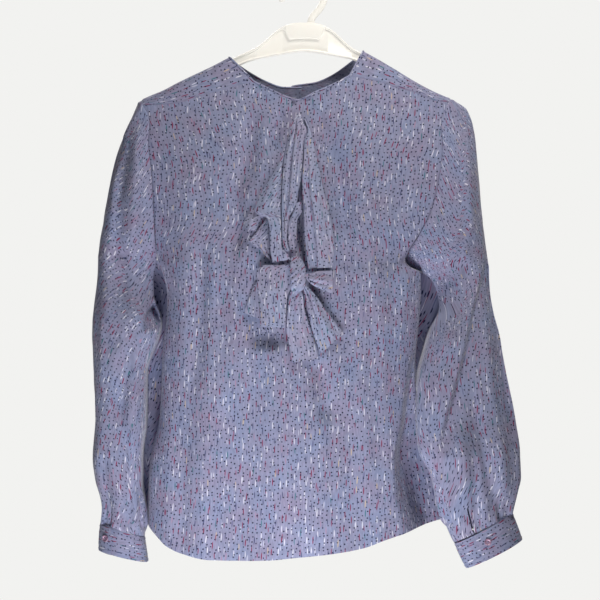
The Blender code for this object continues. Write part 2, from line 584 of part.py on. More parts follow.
def front_sheet():
    """Front panel from the yoke seams and neck to the hem."""
    part = np.linspace(0, 1, YOKE_COLUMNS + 1)
    left_x = LEFT_YOKE_SEAM[0].x + (LEFT_YOKE_SEAM[-1].x - LEFT_YOKE_SEAM[0].x) * part
    right_x = RIGHT_YOKE_SEAM[0].x + (RIGHT_YOKE_SEAM[-1].x - RIGHT_YOKE_SEAM[0].x) * part
    neck_x = np.linspace(left_x[-1], right_x[0], NECK_COLUMNS + 1)
    top_x = np.concatenate([left_x, neck_x[1:-1], right_x])
    top_z = np.concatenate([
        curve(LEFT_YOKE_SEAM, "x", "z", left_x),
        curve(FRONT_NECK, "x", "z", neck_x[1:-1]),
        curve(RIGHT_YOKE_SEAM, "x", "z", right_x),
    ])
    columns = len(top_x)
    even = (1 - np.cos(pi * np.linspace(0, 1, columns))) / 2
    even = 0.35 * even + 0.65 * np.linspace(0, 1, columns)
    round_side = (1 - np.cos(pi * np.linspace(0, 1, columns))) / 2
    start = (top_x - top_x[0]) / (top_x[-1] - top_x[0])
    left_arm = armhole(True)[0][FRONT_YOKE_ROWS:]
    right_arm = armhole(False)[0][FRONT_YOKE_ROWS:]
    rows = []
    arm_rows = len(left_arm)
    for row in range(arm_rows + LOWER_ROWS):
        if row < arm_rows:
            share = row / (arm_rows - 1)
            ends = left_arm[row, 2], right_arm[row, 2]
            under = LEFT_UNDERARM_Z + (RIGHT_UNDERARM_Z - LEFT_UNDERARM_Z) * even
            z = top_z + (under - top_z) * share
            z[0], z[-1] = ends
            place = start + (even - start) * smooth(0, 1, share)
        else:
            share = (row - arm_rows + 1) / LOWER_ROWS
            under = LEFT_UNDERARM_Z + (RIGHT_UNDERARM_Z - LEFT_UNDERARM_Z) * even
            place = even + (round_side - even) * smooth(0, 0.4, share)
            hem_x = HEM[0].x + (HEM[-1].x - HEM[0].x) * place
            z = under + (curve(HEM, "x", "z", hem_x) - under) * share
        left = curve(LEFT_EDGE, "z", "x", z)
        right = curve(RIGHT_EDGE, "z", "x", z)
        x = left + (right - left) * place
        if row == 0:
            x = top_x
        points = surface(x, z, True)
        if row < arm_rows:
            points[0] = left_arm[row]
            points[-1] = right_arm[row]
        rows.append(points)
    return Sheet(np.array(rows))


def back_sheet(front):
    """Back panel from the yoke seam to the hem, sewn to the front's sides."""
    half = np.linspace(0, 1, YOKE_COLUMNS + 1)
    left_arm = armhole(True)[1][BACK_YOKE_ROWS:]
    right_arm = armhole(False)[1][BACK_YOKE_ROWS:]
    middle = BACK_NECK_LEFT[-1].x
    left_x = left_arm[0, 0] + (middle - left_arm[0, 0]) * half
    right_x = middle + (right_arm[0, 0] - middle) * half
    top_x = np.concatenate([left_x, right_x[1:]])
    columns = len(top_x)
    even = np.linspace(0, 1, columns)
    round_side = 0.75 * (1 - np.cos(pi * even)) / 2 + 0.25 * even
    start = (top_x - top_x[0]) / (top_x[-1] - top_x[0])
    arm_rows = len(left_arm)
    front_rows = front.ids.shape[0]
    rows = []
    for row in range(arm_rows + LOWER_ROWS):
        if row < arm_rows:
            share = row / (arm_rows - 1)
            under = LEFT_UNDERARM_Z + (RIGHT_UNDERARM_Z - LEFT_UNDERARM_Z) * even
            z = BACK_SEAM_Z + (under - BACK_SEAM_Z) * share
            place = start + (even - start) * share
        else:
            share = (row - arm_rows + 1) / LOWER_ROWS
            under = LEFT_UNDERARM_Z + (RIGHT_UNDERARM_Z - LEFT_UNDERARM_Z) * even
            place = even + (round_side - even) * smooth(0, 0.4, share)
            hem_x = HEM[0].x + (HEM[-1].x - HEM[0].x) * place
            z = under + (curve(HEM, "x", "z", hem_x) - under) * share
        left = curve(LEFT_EDGE, "z", "x", z)
        right = curve(RIGHT_EDGE, "z", "x", z)
        x = left + (right - left) * place
        points = surface(x, z, False)
        if row < arm_rows:
            points[0] = left_arm[row]
            points[-1] = right_arm[row]
        else:
            same = front.ids[front_rows - arm_rows - LOWER_ROWS + row]
            points[0] = front.points[same[0]]
            points[-1] = front.points[same[-1]]
        rows.append(points)
    return Sheet(np.array(rows), flip=True)


def cuff_ring(cuff, angle, low):
    """Point of a cuff's band at an angle, from its top edge to its bottom."""
    top_l, top_r, low_l, low_r = cuff[:4]
    left_x = top_l.x + (low_l.x - top_l.x) * low
    left_z = top_l.z + (low_l.z - top_l.z) * low
    right_x = top_r.x + (low_r.x - top_r.x) * low
    right_z = top_r.z + (low_r.z - top_r.z) * low
    across = (1 - np.cos(angle)) / 2
    swell = np.sign(np.sin(angle)) * np.abs(np.sin(angle)) ** 0.85
    middle = (cuff.front + cuff.back) / 2
    y = middle - (cuff.back - cuff.front) / 2 * swell
    x = left_x + (right_x - left_x) * across
    z = left_z + (right_z - left_z) * across
    return np.stack(np.broadcast_arrays(x, y, z), axis=-1)


def cuff_sheet(cuff, rows=3, columns=34):
    """Band of a cuff, whose free end lies over the other."""
    angle = np.linspace(cuff.start, cuff.end, columns)
    grid = np.array([cuff_ring(cuff, angle, low) for low in np.linspace(0, 1, rows)])
    middle = grid.mean(axis=1, keepdims=True)
    outward = grid - middle
    outward /= np.linalg.norm(outward, axis=2, keepdims=True)
    if cuff.over == "end":
        lift = smooth(cuff.end - 1.25, cuff.end - 0.75, angle)
    else:
        lift = 1 - smooth(cuff.start + 0.8, cuff.start + 1.3, angle)
    grid = grid + outward * (lift * (CUFF_CLOTH + 0.5))[None, :, None]
    return Sheet(grid)


def bezier(a, b, c, d, t):
    """Cubic curve, with t as an array."""
    t = t[:, None]
    return a * (1 - t) ** 3 + 3 * b * t * (1 - t) ** 2 + 3 * c * t * t * (1 - t) + d * t ** 3


def sleeve_rings(left):
    """Rings of a sleeve from the shoulder ridge to the top of its cuff."""
    cap = LEFT_CAP if left else RIGHT_CAP
    table = LEFT_SLEEVE if left else RIGHT_SLEEVE
    cuff = LEFT_CUFF if left else RIGHT_CUFF
    folds = LEFT_SLEEVE_FOLDS if left else RIGHT_SLEEVE_FOLDS
    steps = LEFT_SLEEVE_STEP if left else RIGHT_SLEEVE_STEP
    front_arm, back_arm = armhole(left)
    t = np.linspace(0, 1, SLEEVE_COLUMNS + 1)
    angle = pi - 2 * pi * t if left else 2 * pi * t
    under_z = front_arm[-1, 2]
    rings = []
    for row in range(ARMHOLE_ROWS + 1):
        share = row / ARMHOLE_ROWS
        out_z = cap[0].z + (cap[-1].z - cap[0].z) * share ** 1.15
        out_x = float(curve(cap, "z", "x", out_z))
        a = front_arm[row]
        d = back_arm[row]
        puff = 52 * smooth(0, 0.75, share) + 26 * smooth(0.6, 1, share)
        control_x = (8 * out_x - a[0] - d[0]) / 6
        control_z = (8 * out_z - a[2] - d[2]) / 6
        b = np.array([control_x, a[1] - puff, control_z])
        c = np.array([control_x, d[1] + puff, control_z])
        rings.append(bezier(a, b, c, d, t))
    bottom = cuff_ring(cuff, angle, -0.045)
    bottom_z = bottom[:, 2].mean()
    gather_z = bottom_z + GATHER_REACH
    heights = list(under_z + (gather_z - under_z) * np.linspace(0, 1, SLEEVE_MID_ROWS + 1)[1:])
    low = np.array([0.3, 0.55, 0.74, 0.86, 0.94, 0.98, 1.0])[-SLEEVE_LOW_ROWS:]
    heights += list(gather_z + (bottom_z - gather_z) * low)
    last_bezier = rings[-1]
    for z in heights:
        inner = float(curve(table, "z", "inner", z))
        outer = float(curve(table, "z", "outer", z))
        front = float(curve(table, "z", "front", z))
        back = float(curve(table, "z", "back", z))
        swell = np.sign(np.sin(2 * pi * t)) * np.abs(np.sin(2 * pi * t)) ** 0.8
        x = inner + (outer - inner) * (1 - np.cos(2 * pi * t)) / 2
        y = (front + back) / 2 - (back - front) / 2 * swell
        ring = np.stack([x, y, np.full_like(x, z)], axis=-1)
        near = 1 - smooth(0, 90, under_z - z)
        drawn = last_bezier.copy()
        drawn[:, 0] += inner - last_bezier[0, 0]
        drawn[:, 2] += z - under_z
        ring = ring + (drawn - ring) * near
        settle = smooth(gather_z - 6, bottom_z, z)
        ring = ring + (bottom - ring) * settle
        rings.append(ring)
    rings = np.array(rings)
    add_sleeve_folds(rings, t, folds, steps, bottom_z)
    return rings


def add_sleeve_folds(rings, t, folds, steps, bottom_z):
    """Press the folds, the front layer's edge and the gathers into the rings."""
    facing = np.sin(2 * pi * t)[None, :]
    front = smooth(0.0, 0.5, facing)
    back = smooth(0.0, 0.5, -facing)
    x = rings[..., 0]
    z = rings[..., 2]
    above = smooth(0, 30, z - bottom_z)
    rings[..., 1] -= folds_at(folds, x, z) * front * above
    middle = x.mean(axis=1, keepdims=True)
    rings[..., 1] += folds_at(folds, 2 * middle - x, z) * back * above * 0.8
    rings[..., 1] += step_at(steps, x, z) * front * above
    rings[:, -1] = np.where(
        (np.arange(len(rings)) >= ARMHOLE_ROWS)[:, None], rings[:, 0], rings[:, -1]
    )
    centre = rings.mean(axis=1, keepdims=True)
    outward = rings - centre
    outward[..., 2] = 0
    outward /= np.maximum(np.linalg.norm(outward, axis=2, keepdims=True), 1e-9)
    rise = z - bottom_z
    reach = smooth(0, 9, rise) * (1 - smooth(14, GATHER_REACH, rise))
    wave = np.cos(2 * pi * GATHERS * t)[None, :]
    rings += outward * (GATHER_HEIGHT * wave * reach)[..., None]


def ring_normals(ring, cuff):
    """Outward directions round a ring that lie square to the cuff's height."""
    top = cuff_ring(cuff, np.array([pi / 2]), 0.0)[0]
    low = cuff_ring(cuff, np.array([pi / 2]), 1.0)[0]
    line = np.gradient(ring, axis=0)
    line[0] = line[-1] = ring[1] - ring[-2]
    out = np.cross(line, top - low)
    out /= np.linalg.norm(out, axis=1, keepdims=True)
    facing = np.sum(out * (ring - ring.mean(axis=0)), axis=1).sum()
    return out if facing > 0 else -out


def sleeve_sheet(left):
    """Sleeve as one sheet: open at the armhole, closed to a tube below."""
    rings = sleeve_rings(left)
    cuff = LEFT_CUFF if left else RIGHT_CUFF
    rows, cols = rings.shape[:2]
    ids = np.arange(rows * cols).reshape(rows, cols)
    ids[0, :] = ids[0, 0]
    ids[ARMHOLE_ROWS:, -1] = ids[ARMHOLE_ROWS:, 0]
    t = np.linspace(0, 1, cols)
    angle = pi - 2 * pi * t if left else 2 * pi * t
    slit_angle = cuff.end - 2 * pi if cuff.over == "end" else cuff.start
    slit = int(np.argmin(np.abs(np.cos(angle[: cols // 2]) - cos(slit_angle))))
    bottom_z = rings[-1, :, 2].mean()
    slit_row = int(np.argmax(rings[:, slit, 2] < bottom_z + cuff.slit_depth))

    def keep(row, col):
        return not (col == slit and row >= slit_row)

    middle = (rings[slit_row:, slit] + rings[slit_row:, slit + 1]) / 2
    spread = np.linspace(0.12, 0.3, rows - slit_row)[:, None]
    if slit_row < rows - 1:
        rings[slit_row + 1:, slit] = (middle + (rings[slit_row:, slit] - middle) * spread)[1:]
        rings[slit_row + 1:, slit + 1] = (middle + (rings[slit_row:, slit + 1] - middle) * spread)[1:]
    sheet = Sheet(rings, keep=keep, ids=ids, flip=left)
    sheet.normals[ids[-1, :-1]] = ring_normals(rings[-1], cuff)[:-1]
    return sheet


def strip_sheet(rows, columns=6, crease=None):
    """Stretch of the tie over the front panel, from its table of rows."""
    across = np.linspace(0, 1, columns + 1)
    grid = []
    for k, row in enumerate(rows):
        x = row.left_x + (row.right_x - row.left_x) * across
        z = row.left_z + (row.right_z - row.left_z) * across
        lift = row.lift_left + (row.lift_right - row.lift_left) * across
        lift = lift + row.bow * np.sin(pi * across)
        if crease is not None:
            lift = lift + crease(across, k / (len(rows) - 1))
        points = surface(x, z, True)
        points[:, 1] -= lift + TIE_CLOTH
        grid.append(points)
    return Sheet(np.array(grid))


def refine(rows, factor):
    """More rows along a table, on smooth curves through its own."""
    marks = np.arange(len(rows), dtype=float)
    Mark = namedtuple("Mark", "k v")
    fine = np.linspace(0, len(rows) - 1, (len(rows) - 1) * factor + 1)
    made = []
    for name in rows[0]._fields:
        values = [Mark(k, v) for k, v in zip(marks, column(rows, name))]
        made.append(curve(values, "k", "v", fine))
    return [type(rows[0])(*(float(v) for v in values)) for values in zip(*made)]


def centre_crease(across, along):
    """Two V folds that run down the centre strand."""
    depth = 2.6 * smooth(0.08, 0.35, along) * (1 - smooth(0.7, 0.95, along))
    return -depth * np.exp(-((across - 0.38) / 0.13) ** 2)


def right_crease(across, along):
    """Recessed back layer beside the right strand's inner edge."""
    depth = 4.6 * smooth(0.25, 0.5, along)
    band = smooth(0.04, 0.16, across) * (1 - smooth(0.30, 0.42, across))
    return -depth * band


def loop_sheet():
    """The bow's left loop: a flattened tube, closed at the top, open below."""
    columns = 16
    turn = 2 * pi * np.arange(columns + 1) / columns
    grid = []
    for k, row in enumerate(LOOP):
        across = (1 - np.cos(turn)) / 2
        x = row.left_x + (row.right_x - row.left_x) * across
        z = row.left_z + (row.right_z - row.left_z) * across
        back = smooth(0.1, 0.5, -np.sin(turn))
        if k == len(LOOP) - 1:
            z = z - 7.0 * back
        rim = np.sign(np.sin(turn)) * np.abs(np.sin(turn)) ** 0.6
        middle = (row.lift_left + row.lift_right) / 2
        lift = middle + (row.lift_right - row.lift_left) / 2 * rim
        points = surface(x, z, True)
        points[:, 1] -= lift + TIE_CLOTH
        grid.append(points)
    grid = np.array(grid)
    rows, cols = grid.shape[:2]
    ids = np.arange(rows * cols).reshape(rows, cols)
    ids[:, -1] = ids[:, 0]
    return Sheet(grid, ids=ids)


def binding_sheet(front, yokes):
    """Narrow edge round the neck, made from the panels' own neck points."""
    left, right = yokes
    neck = []
    last = YOKE_COLUMNS
    back_end = FRONT_YOKE_ROWS + len(NECK_SHARES) - 1
    for row in range(back_end, -1, -1):
        neck.append((left, left.ids[row, last]))
    for col in range(YOKE_COLUMNS + 1, YOKE_COLUMNS + NECK_COLUMNS):
        neck.append((front, front.ids[0, col]))
    for row in range(0, back_end + 1):
        neck.append((right, right.ids[row, last]))
    inward = {id(sheet): sheet.inward() for sheet in (front, left, right)}
    points = np.array([sheet.points[v] for sheet, v in neck])
    normals = np.array([sheet.normals[v] for sheet, v in neck])
    way = np.array([inward[id(sheet)][v] for sheet, v in neck])
    line = np.gradient(points, axis=0)
    line /= np.linalg.norm(line, axis=1, keepdims=True)
    way = way - line * np.sum(way * line, axis=1, keepdims=True)
    way = way - normals * np.sum(way * normals, axis=1, keepdims=True)
    way /= np.linalg.norm(way, axis=1, keepdims=True)
    near = points - way * 0.42 + normals * 0.25
    far = points - way * 2.4 + normals * 0.3
    grid = np.array([far, near])
    sheet = Sheet(grid)
    sheet.normals = np.concatenate([normals, normals])
    return sheet


def button(name, centre, normal, radius, thickness):
    """Turned button with a raised rim and four thread holes as small pits."""
    profile = [
        (0.0, 0.55), (0.5, 0.55), (0.66, 0.62), (0.76, 0.95), (0.88, 1.0),
        (0.97, 0.8), (1.0, 0.5), (0.93, 0.1), (0.8, 0.0), (0.0, 0.0),
    ]
    sides = 14
    axis = np.array(normal, float)
    axis /= np.linalg.norm(axis)
    side = np.cross(axis, [0.0, 0.0, 1.0])
    side /= np.linalg.norm(side)
    up = np.cross(side, axis)
    vertices = []
    faces = []
    centre = np.array(centre, float)
    for share, high in profile[1:-1]:
        for k in range(sides):
            a = 2 * pi * k / sides
            way = side * cos(a) + up * sin(a)
            vertices.append(centre + way * radius * share + axis * thickness * high)
    rings = len(profile) - 2
    for ring in range(rings - 1):
        for k in range(sides):
            a = ring * sides + k
            b = ring * sides + (k + 1) % sides
            faces.append([a, b, b + sides, a + sides])
    top = len(vertices)
    vertices.append(centre + axis * thickness * profile[0][1])
    vertices.append(centre)
    last = (rings - 1) * sides
    for k in range(sides):
        faces.append([top, (k + 1) % sides, k])
        faces.append([top + 1, last + k, last + (k + 1) % sides])
    return new_object(name, vertices, faces, "button", 0.25)


def hanger_arms():
    """Arms and hub in one moulding, an I section along the shoulder line."""
    stations = sorted(
        {arm.x for arm in HANGER_ARMS} | set(np.linspace(-188, 160, 9).round(1))
    )
    rings = []
    for x in stations:
        height = float(curve(HANGER_ARMS, "x", "height", x))
        flange = float(curve(HANGER_ARMS, "x", "flange", x))
        web = min(float(curve(HANGER_ARMS, "x", "web", x)), flange - 0.1)
        hub = 1 - float(smooth(24, 34, abs(x - 2)))
        top = float(ridge(x)) - HANGER_DROP - NECK_DROP * float(smooth(100, 89, abs(x + 8.5)))
        top = top + (HUB_TOP - top) * hub
        low = top - height
        rings.append([
            (x, -flange * 0.25, top), (x, -flange * 0.75, top - 1.1), (x, -flange, top - FLANGE),
            (x, -web, top - FLANGE - 1.0), (x, -web, low + FLANGE + 0.7),
            (x, -flange, low + FLANGE), (x, -flange, low + 0.6), (x, -flange * 0.6, low),
            (x, flange * 0.6, low), (x, flange, low + 0.6), (x, flange, low + FLANGE),
            (x, web, low + FLANGE + 0.7), (x, web, top - FLANGE - 1.0),
            (x, flange, top - FLANGE), (x, flange * 0.75, top - 1.1), (x, flange * 0.25, top),
        ])
    size = len(rings[0])
    faces = []
    for r in range(len(rings) - 1):
        for k in range(size):
            a = r * size + k
            b = r * size + (k + 1) % size
            faces.append([a, b, b + size, a + size])
    faces.append(list(range(size))[::-1])
    faces.append([len(rings) * size - size + k for k in range(size)])
    return new_object("hanger_arms", np.array(rings).reshape(-1, 3), faces, "plastic_white", 0.35)


def hanger_hook():
    """Hook that rises from the hub's flat top and bends over to the left."""
    radius = HOOK_INNER_RADIUS + HOOK_WIDTH / 2
    centre = np.array([0.0, -HOOK_INNER_RADIUS])
    foot = np.array([HOOK_FOOT_X, HUB_TOP + 0.3])
    start = centre + radius * np.array([cos(radians(-22)), sin(radians(-22))])
    t = np.linspace(0, 1, 8)[:, None]
    rise = foot + np.array([0, 9.0])
    lead = start + np.array([-4.6, -11.5])
    stem = foot * (1 - t) ** 3 + 3 * rise * t * (1 - t) ** 2 + 3 * lead * t * t * (1 - t) + start * t ** 3
    turn = np.radians(np.linspace(-22, 197, 19))[1:]
    arc = centre + radius * np.stack([np.cos(turn), np.sin(turn)], axis=-1)
    path = np.concatenate([stem, arc])
    sides = 10
    rings = []
    for k, point in enumerate(path):
        before = path[max(k - 1, 0)]
        after = path[min(k + 1, len(path) - 1)]
        way = (after - before) / np.linalg.norm(after - before)
        if k == 0:
            way = np.array([0.0, 1.0])
        across = np.array([way[1], -way[0]])
        taper = 1.0 if k < len(path) - 2 else (0.85 if k == len(path) - 2 else 0.5)
        for m in range(sides):
            a = 2 * pi * (m + 0.5) / sides
            flat = across * cos(a) * HOOK_WIDTH / 2 * taper
            rings.append((point[0] + flat[0], sin(a) * HOOK_DEPTH / 2 * taper, point[1] + flat[1]))
    faces = []
    for r in range(len(path) - 1):
        for k in range(sides):
            a = r * sides + k
            b = r * sides + (k + 1) % sides
            faces.append([a, b, b + sides, a + sides])
    faces.append(list(range(sides))[::-1])
    faces.append([len(path) * sides - sides + k for k in range(sides)])
    return new_object("hanger_hook", rings, faces, "plastic_white", 0.35)


def sew_garment():
    """Make the panels, share their seams and close them into walls."""
    front = front_sheet()
    back = back_sheet(front)
    yokes = yoke_sheet(True), yoke_sheet(False)
    sleeves = sleeve_sheet(True), sleeve_sheet(False)
    binding = binding_sheet(front, yokes)
    arm_front = ARMHOLE_ROWS - FRONT_YOKE_ROWS
    arm_back = ARMHOLE_ROWS - BACK_YOKE_ROWS
    for k, (yoke, sleeve) in enumerate(zip(yokes, sleeves)):
        edge = 0 if k == 0 else -1
        columns = slice(0, YOKE_COLUMNS + 1) if k == 0 else slice(-1, -YOKE_COLUMNS - 2, -1)
        share_seam(front, front.ids[0, columns], yoke, yoke.ids[0, :])
        share_seam(back, back.ids[0, columns], yoke, yoke.ids[-1, :])
        share_seam(
            front, front.ids[: arm_front + 1, edge],
            sleeve, sleeve.ids[FRONT_YOKE_ROWS: ARMHOLE_ROWS + 1, 0],
        )
        share_seam(
            back, back.ids[: arm_back + 1, edge],
            sleeve, sleeve.ids[BACK_YOKE_ROWS: ARMHOLE_ROWS + 1, -1],
        )
        share_seam(
            yoke, yoke.ids[FRONT_YOKE_ROWS::-1, 0],
            sleeve, sleeve.ids[: FRONT_YOKE_ROWS + 1, 0],
        )
        share_seam(
            yoke, yoke.ids[FRONT_YOKE_ROWS + 1:, 0],
            sleeve, sleeve.ids[1: BACK_YOKE_ROWS + 1, -1],
        )
        share_seam(front, front.ids[arm_front:, edge], back, back.ids[arm_back:, edge])
    wall("front", front, CLOTH)
    wall("back", back, CLOTH)
    wall("yoke_left", yokes[0], CLOTH)
    wall("yoke_right", yokes[1], CLOTH)
    wall("sleeve_left", sleeves[0], CLOTH)
    wall("sleeve_right", sleeves[1], CLOTH)
    wall("neck_binding", binding, BINDING_CLOTH, gap=0.0)
    wall("cuff_left", cuff_sheet(LEFT_CUFF), CUFF_CLOTH)
    wall("cuff_right", cuff_sheet(RIGHT_CUFF), CUFF_CLOTH)


def tie_pieces():
    """Each stretch of the tie that shows."""
    wall("tie_strand_left", strip_sheet(refine(STRAND_LEFT, 2)), TIE_CLOTH, gap=0.0)
    wall("tie_roll_left", strip_sheet(refine(ROLL_LEFT, 2)), TIE_CLOTH, gap=0.0)
    wall("tie_fold_left", strip_sheet(FOLD_LEFT, 3), TIE_CLOTH, gap=0.0)
    wall("tie_strand_centre", strip_sheet(STRAND_CENTRE, 8, centre_crease), TIE_CLOTH, gap=0.0)
    wall("tie_strand_cross", strip_sheet(STRAND_CROSS, 4), TIE_CLOTH, gap=0.0)
    wall("tie_strand_right", strip_sheet(STRAND_RIGHT, 10, right_crease), TIE_CLOTH, gap=0.0)
    wall("tie_fold_right", strip_sheet(FOLD_RIGHT, 5), TIE_CLOTH, gap=0.0)
    wall("tie_knot", strip_sheet(refine(KNOT, 2), 8), KNOT_DEPTH, gap=0.0)
    wall("tie_loop_left", loop_sheet(), TIE_CLOTH, gap=0.0)
    wall("tie_tip_left", strip_sheet(TIP_LEFT, 4), TIE_CLOTH, gap=0.0)
    wall("tie_tail_centre", strip_sheet(TAIL_CENTRE, 5), TIE_CLOTH, gap=0.0)
    wall("tie_tail_right", strip_sheet(TAIL_RIGHT, 5), TIE_CLOTH, gap=0.0)


def cuff_button(name, cuff, angle, low):
    """Button on the overlap of a cuff."""
    point = cuff_ring(cuff, np.array([angle]), low)[0]
    beside = cuff_ring(cuff, np.array([angle + 0.1]), low)[0]
    below = cuff_ring(cuff, np.array([angle]), low + 0.1)[0]
    normal = np.cross(beside - point, below - point)
    normal /= np.linalg.norm(normal)
    if normal[1] > 0:
        normal = -normal
    start = point + normal * (CUFF_CLOTH + 0.5 + 0.5)
    return button(name, start, normal, 4.3, 2.2)


clear_scene()
sew_garment()
tie_pieces()
cuff_button("cuff_button_left", LEFT_CUFF, 0.86, 0.42)
cuff_button("cuff_button_right", RIGHT_CUFF, 1.50, 0.42)
slit_top = surface(-8.0, -145.0, False)
button("neck_button", slit_top + np.array([0, 0.8, 0]), (0, 1, 0), 4.5, 2.2)
hanger_arms()
hanger_hook()
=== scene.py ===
"""Looks of the tie neck blouse on its hanger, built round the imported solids.

The blouse faces -Y, +X is on the right when it is seen from the front, and the
origin is the inner top of the hanger's hook. Tables and grids of points are in
millimetres, and every mesh is made in metres. Cloth is a thin double skin on
the form of its solid, with the soft folds that the solids leave out.
"""

from __future__ import annotations

import json
import logging
from dataclasses import dataclass, field
from enum import Enum
from math import cos, pi, radians, sin
from typing import NamedTuple, Optional, Sequence

import bpy
import numpy as np
from bpy.types import Material, Node, NodeSocket, NodeTree, Object
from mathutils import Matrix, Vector

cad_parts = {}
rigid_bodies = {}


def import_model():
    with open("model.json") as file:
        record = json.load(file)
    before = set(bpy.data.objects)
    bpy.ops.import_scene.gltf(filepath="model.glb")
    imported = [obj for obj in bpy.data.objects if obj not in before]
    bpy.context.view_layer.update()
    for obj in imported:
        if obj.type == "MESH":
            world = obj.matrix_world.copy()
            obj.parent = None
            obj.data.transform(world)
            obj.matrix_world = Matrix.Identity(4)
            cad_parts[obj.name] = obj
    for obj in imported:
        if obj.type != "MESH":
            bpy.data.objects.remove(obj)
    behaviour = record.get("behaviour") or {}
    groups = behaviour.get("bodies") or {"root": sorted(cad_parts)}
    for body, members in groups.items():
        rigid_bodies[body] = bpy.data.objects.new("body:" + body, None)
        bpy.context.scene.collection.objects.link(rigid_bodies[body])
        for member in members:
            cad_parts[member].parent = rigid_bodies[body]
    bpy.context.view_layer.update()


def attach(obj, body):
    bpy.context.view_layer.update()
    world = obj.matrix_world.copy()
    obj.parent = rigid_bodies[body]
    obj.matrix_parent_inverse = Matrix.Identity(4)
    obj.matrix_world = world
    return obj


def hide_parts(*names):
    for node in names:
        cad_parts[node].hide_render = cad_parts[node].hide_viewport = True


Array = np.ndarray

log = logging.getLogger("blouse")

MM = 0.001
CLOTH_MAP = "cloth"
BODY = "root"

# Grid counts, as in the solids, and how much finer the cloth is drawn
FRONT_YOKE_ROWS = 4
BACK_YOKE_ROWS = 8
ARMHOLE_ROWS = 13
LOWER_ROWS = 14
YOKE_COLUMNS = 7
NECK_COLUMNS = 18
SLEEVE_COLUMNS = 28
SLEEVE_MID_ROWS = 7
FINE_ROWS = 5
FINE_LOWER = 9
FINE_COLUMNS = 5
FINE_RING = 5
FINE_MID = 12
FINE_LOW = 5

BACK_SEAM_Z = -214.0
NECK_SHARES = [0.0, 0.07, 0.25, 0.5, 0.76, 1.0]
SLIT_OVERLAP = 13.0
SLIT_STEP = 2.2


def table(kind: type, *rows: tuple) -> list:
    """Rows of a table, with the named columns of their kind."""
    return [kind(*row) for row in rows]


class Point(NamedTuple):
    """A place seen from the front."""

    x: float
    z: float


class Edge(NamedTuple):
    """Where an edge is at a height."""

    z: float
    x: float


class Depth(NamedTuple):
    """Depth of the body's middle, front and back, at a height."""

    z: float
    front: float
    back: float


class Side(NamedTuple):
    """Depth of the body's sides at a height."""

    z: float
    left_front: float
    left_back: float
    right_front: float
    right_back: float


class Fold(NamedTuple):
    """A soft ridge, or a trough where its height is below zero."""

    x_top: float
    z_top: float
    x_end: float
    z_end: float
    width: float
    height: float


class Step(NamedTuple):
    """Place and depth of a folded layer's edge at a height."""

    z: float
    x: float
    drop: float
    width: float


class Sleeve(NamedTuple):
    """Outline of a sleeve at a height."""

    z: float
    inner: float
    outer: float
    front: float
    back: float


class Lean(NamedTuple):
    """How far the print turns at a distance down the sleeve."""

    along: float
    degrees: float


class Strip(NamedTuple):
    """One row across a stretch of the tie, from its left edge to its right."""

    left_x: float
    left_z: float
    right_x: float
    right_z: float
    lift_left: float
    lift_right: float
    bow: float


class Arm(NamedTuple):
    """Section of the hanger at a place along it."""

    x: float
    height: float
    flange: float


class Cuff(NamedTuple):
    """Corners of a cuff seen from the front, its depth and where it laps."""

    top_left: Point
    top_right: Point
    bottom_left: Point
    bottom_right: Point
    front: float
    back: float
    start: float
    end: float
    over: str
    slit_depth: float


# Line of the shoulders over the hanger, carried on to the hub
RIDGE = table(Point,
    (-206, -156.5), (-201, -152.9), (-177, -142.5), (-159, -133), (-140, -123.8), (-116, -112.5),
    (-92, -100), (-56, -83), (-24, -68), (0, -62), (29, -68), (52, -79.5), (75.6, -92.5), (96, -103.8),
    (115, -115), (141, -131), (165, -143.8), (185, -152.5), (203, -161), (210, -168))

# Edges of the body: armhole seam above, side seam below
LEFT_EDGE = table(Edge,
    (-155.6, -205), (-162.5, -201.5), (-177.5, -194), (-191, -193), (-210, -194.5), (-226, -192.5),
    (-261, -189), (-289, -187.5), (-330, -186), (-355, -184.5), (-375, -177.5), (-401, -172),
    (-431, -172.5), (-457, -176), (-520, -178.5), (-557, -181), (-590, -189), (-607, -192),
    (-640, -194.5), (-710, -195))
RIGHT_EDGE = table(Edge,
    (-153.8, 187.5), (-158.8, 183.8), (-170, 177.5), (-185, 173), (-210, 175), (-251, 171), (-296, 160),
    (-325, 146), (-345, 134), (-358, 130), (-366, 136), (-372, 150), (-402, 149.5), (-451, 145.5),
    (-487, 142), (-520, 143.5), (-552, 149), (-595, 164), (-645, 181), (-690, 190))
LEFT_UNDERARM_Z = -355.0
RIGHT_UNDERARM_Z = -372.0

HEM = table(Point,
    (-195, -691), (-182, -703.8), (-171, -713.8), (-152, -722.5), (-115, -729.5), (-76, -730),
    (-46, -729.5), (-5, -725.6), (39, -721), (74, -715), (102, -705), (127, -697.5), (154, -689.4),
    (171, -685), (190, -681))

LEFT_YOKE_SEAM = table(Point,
    (-201.5, -162.5), (-165, -161), (-116, -147.5), (-97, -142.5), (-79, -137), (-63, -133.5))
RIGHT_YOKE_SEAM = table(Point,
    (60, -126), (90, -131.5), (119, -141), (140, -146.5), (169, -157.5), (183.8, -158.8))
FRONT_NECK = table(Point,
    (-63, -133.5), (-37.5, -146.3), (-20, -154), (-6, -157.6), (5, -153.4), (16, -147.6), (31, -141.4),
    (46, -134), (60, -126))
NECK_POINT_LEFT = -94.5
NECK_POINT_RIGHT = 77.5
BACK_NECK_LEFT = table(Point,
    (-94.5, -102), (-72.5, -117.5), (-50, -130), (-32, -137.4), (-15, -139.4), (-2, -139))
BACK_NECK_RIGHT = table(Point,
    (77.5, -94.5), (64, -105), (46, -119), (29, -127.5), (8, -135.6), (-2, -138.4))

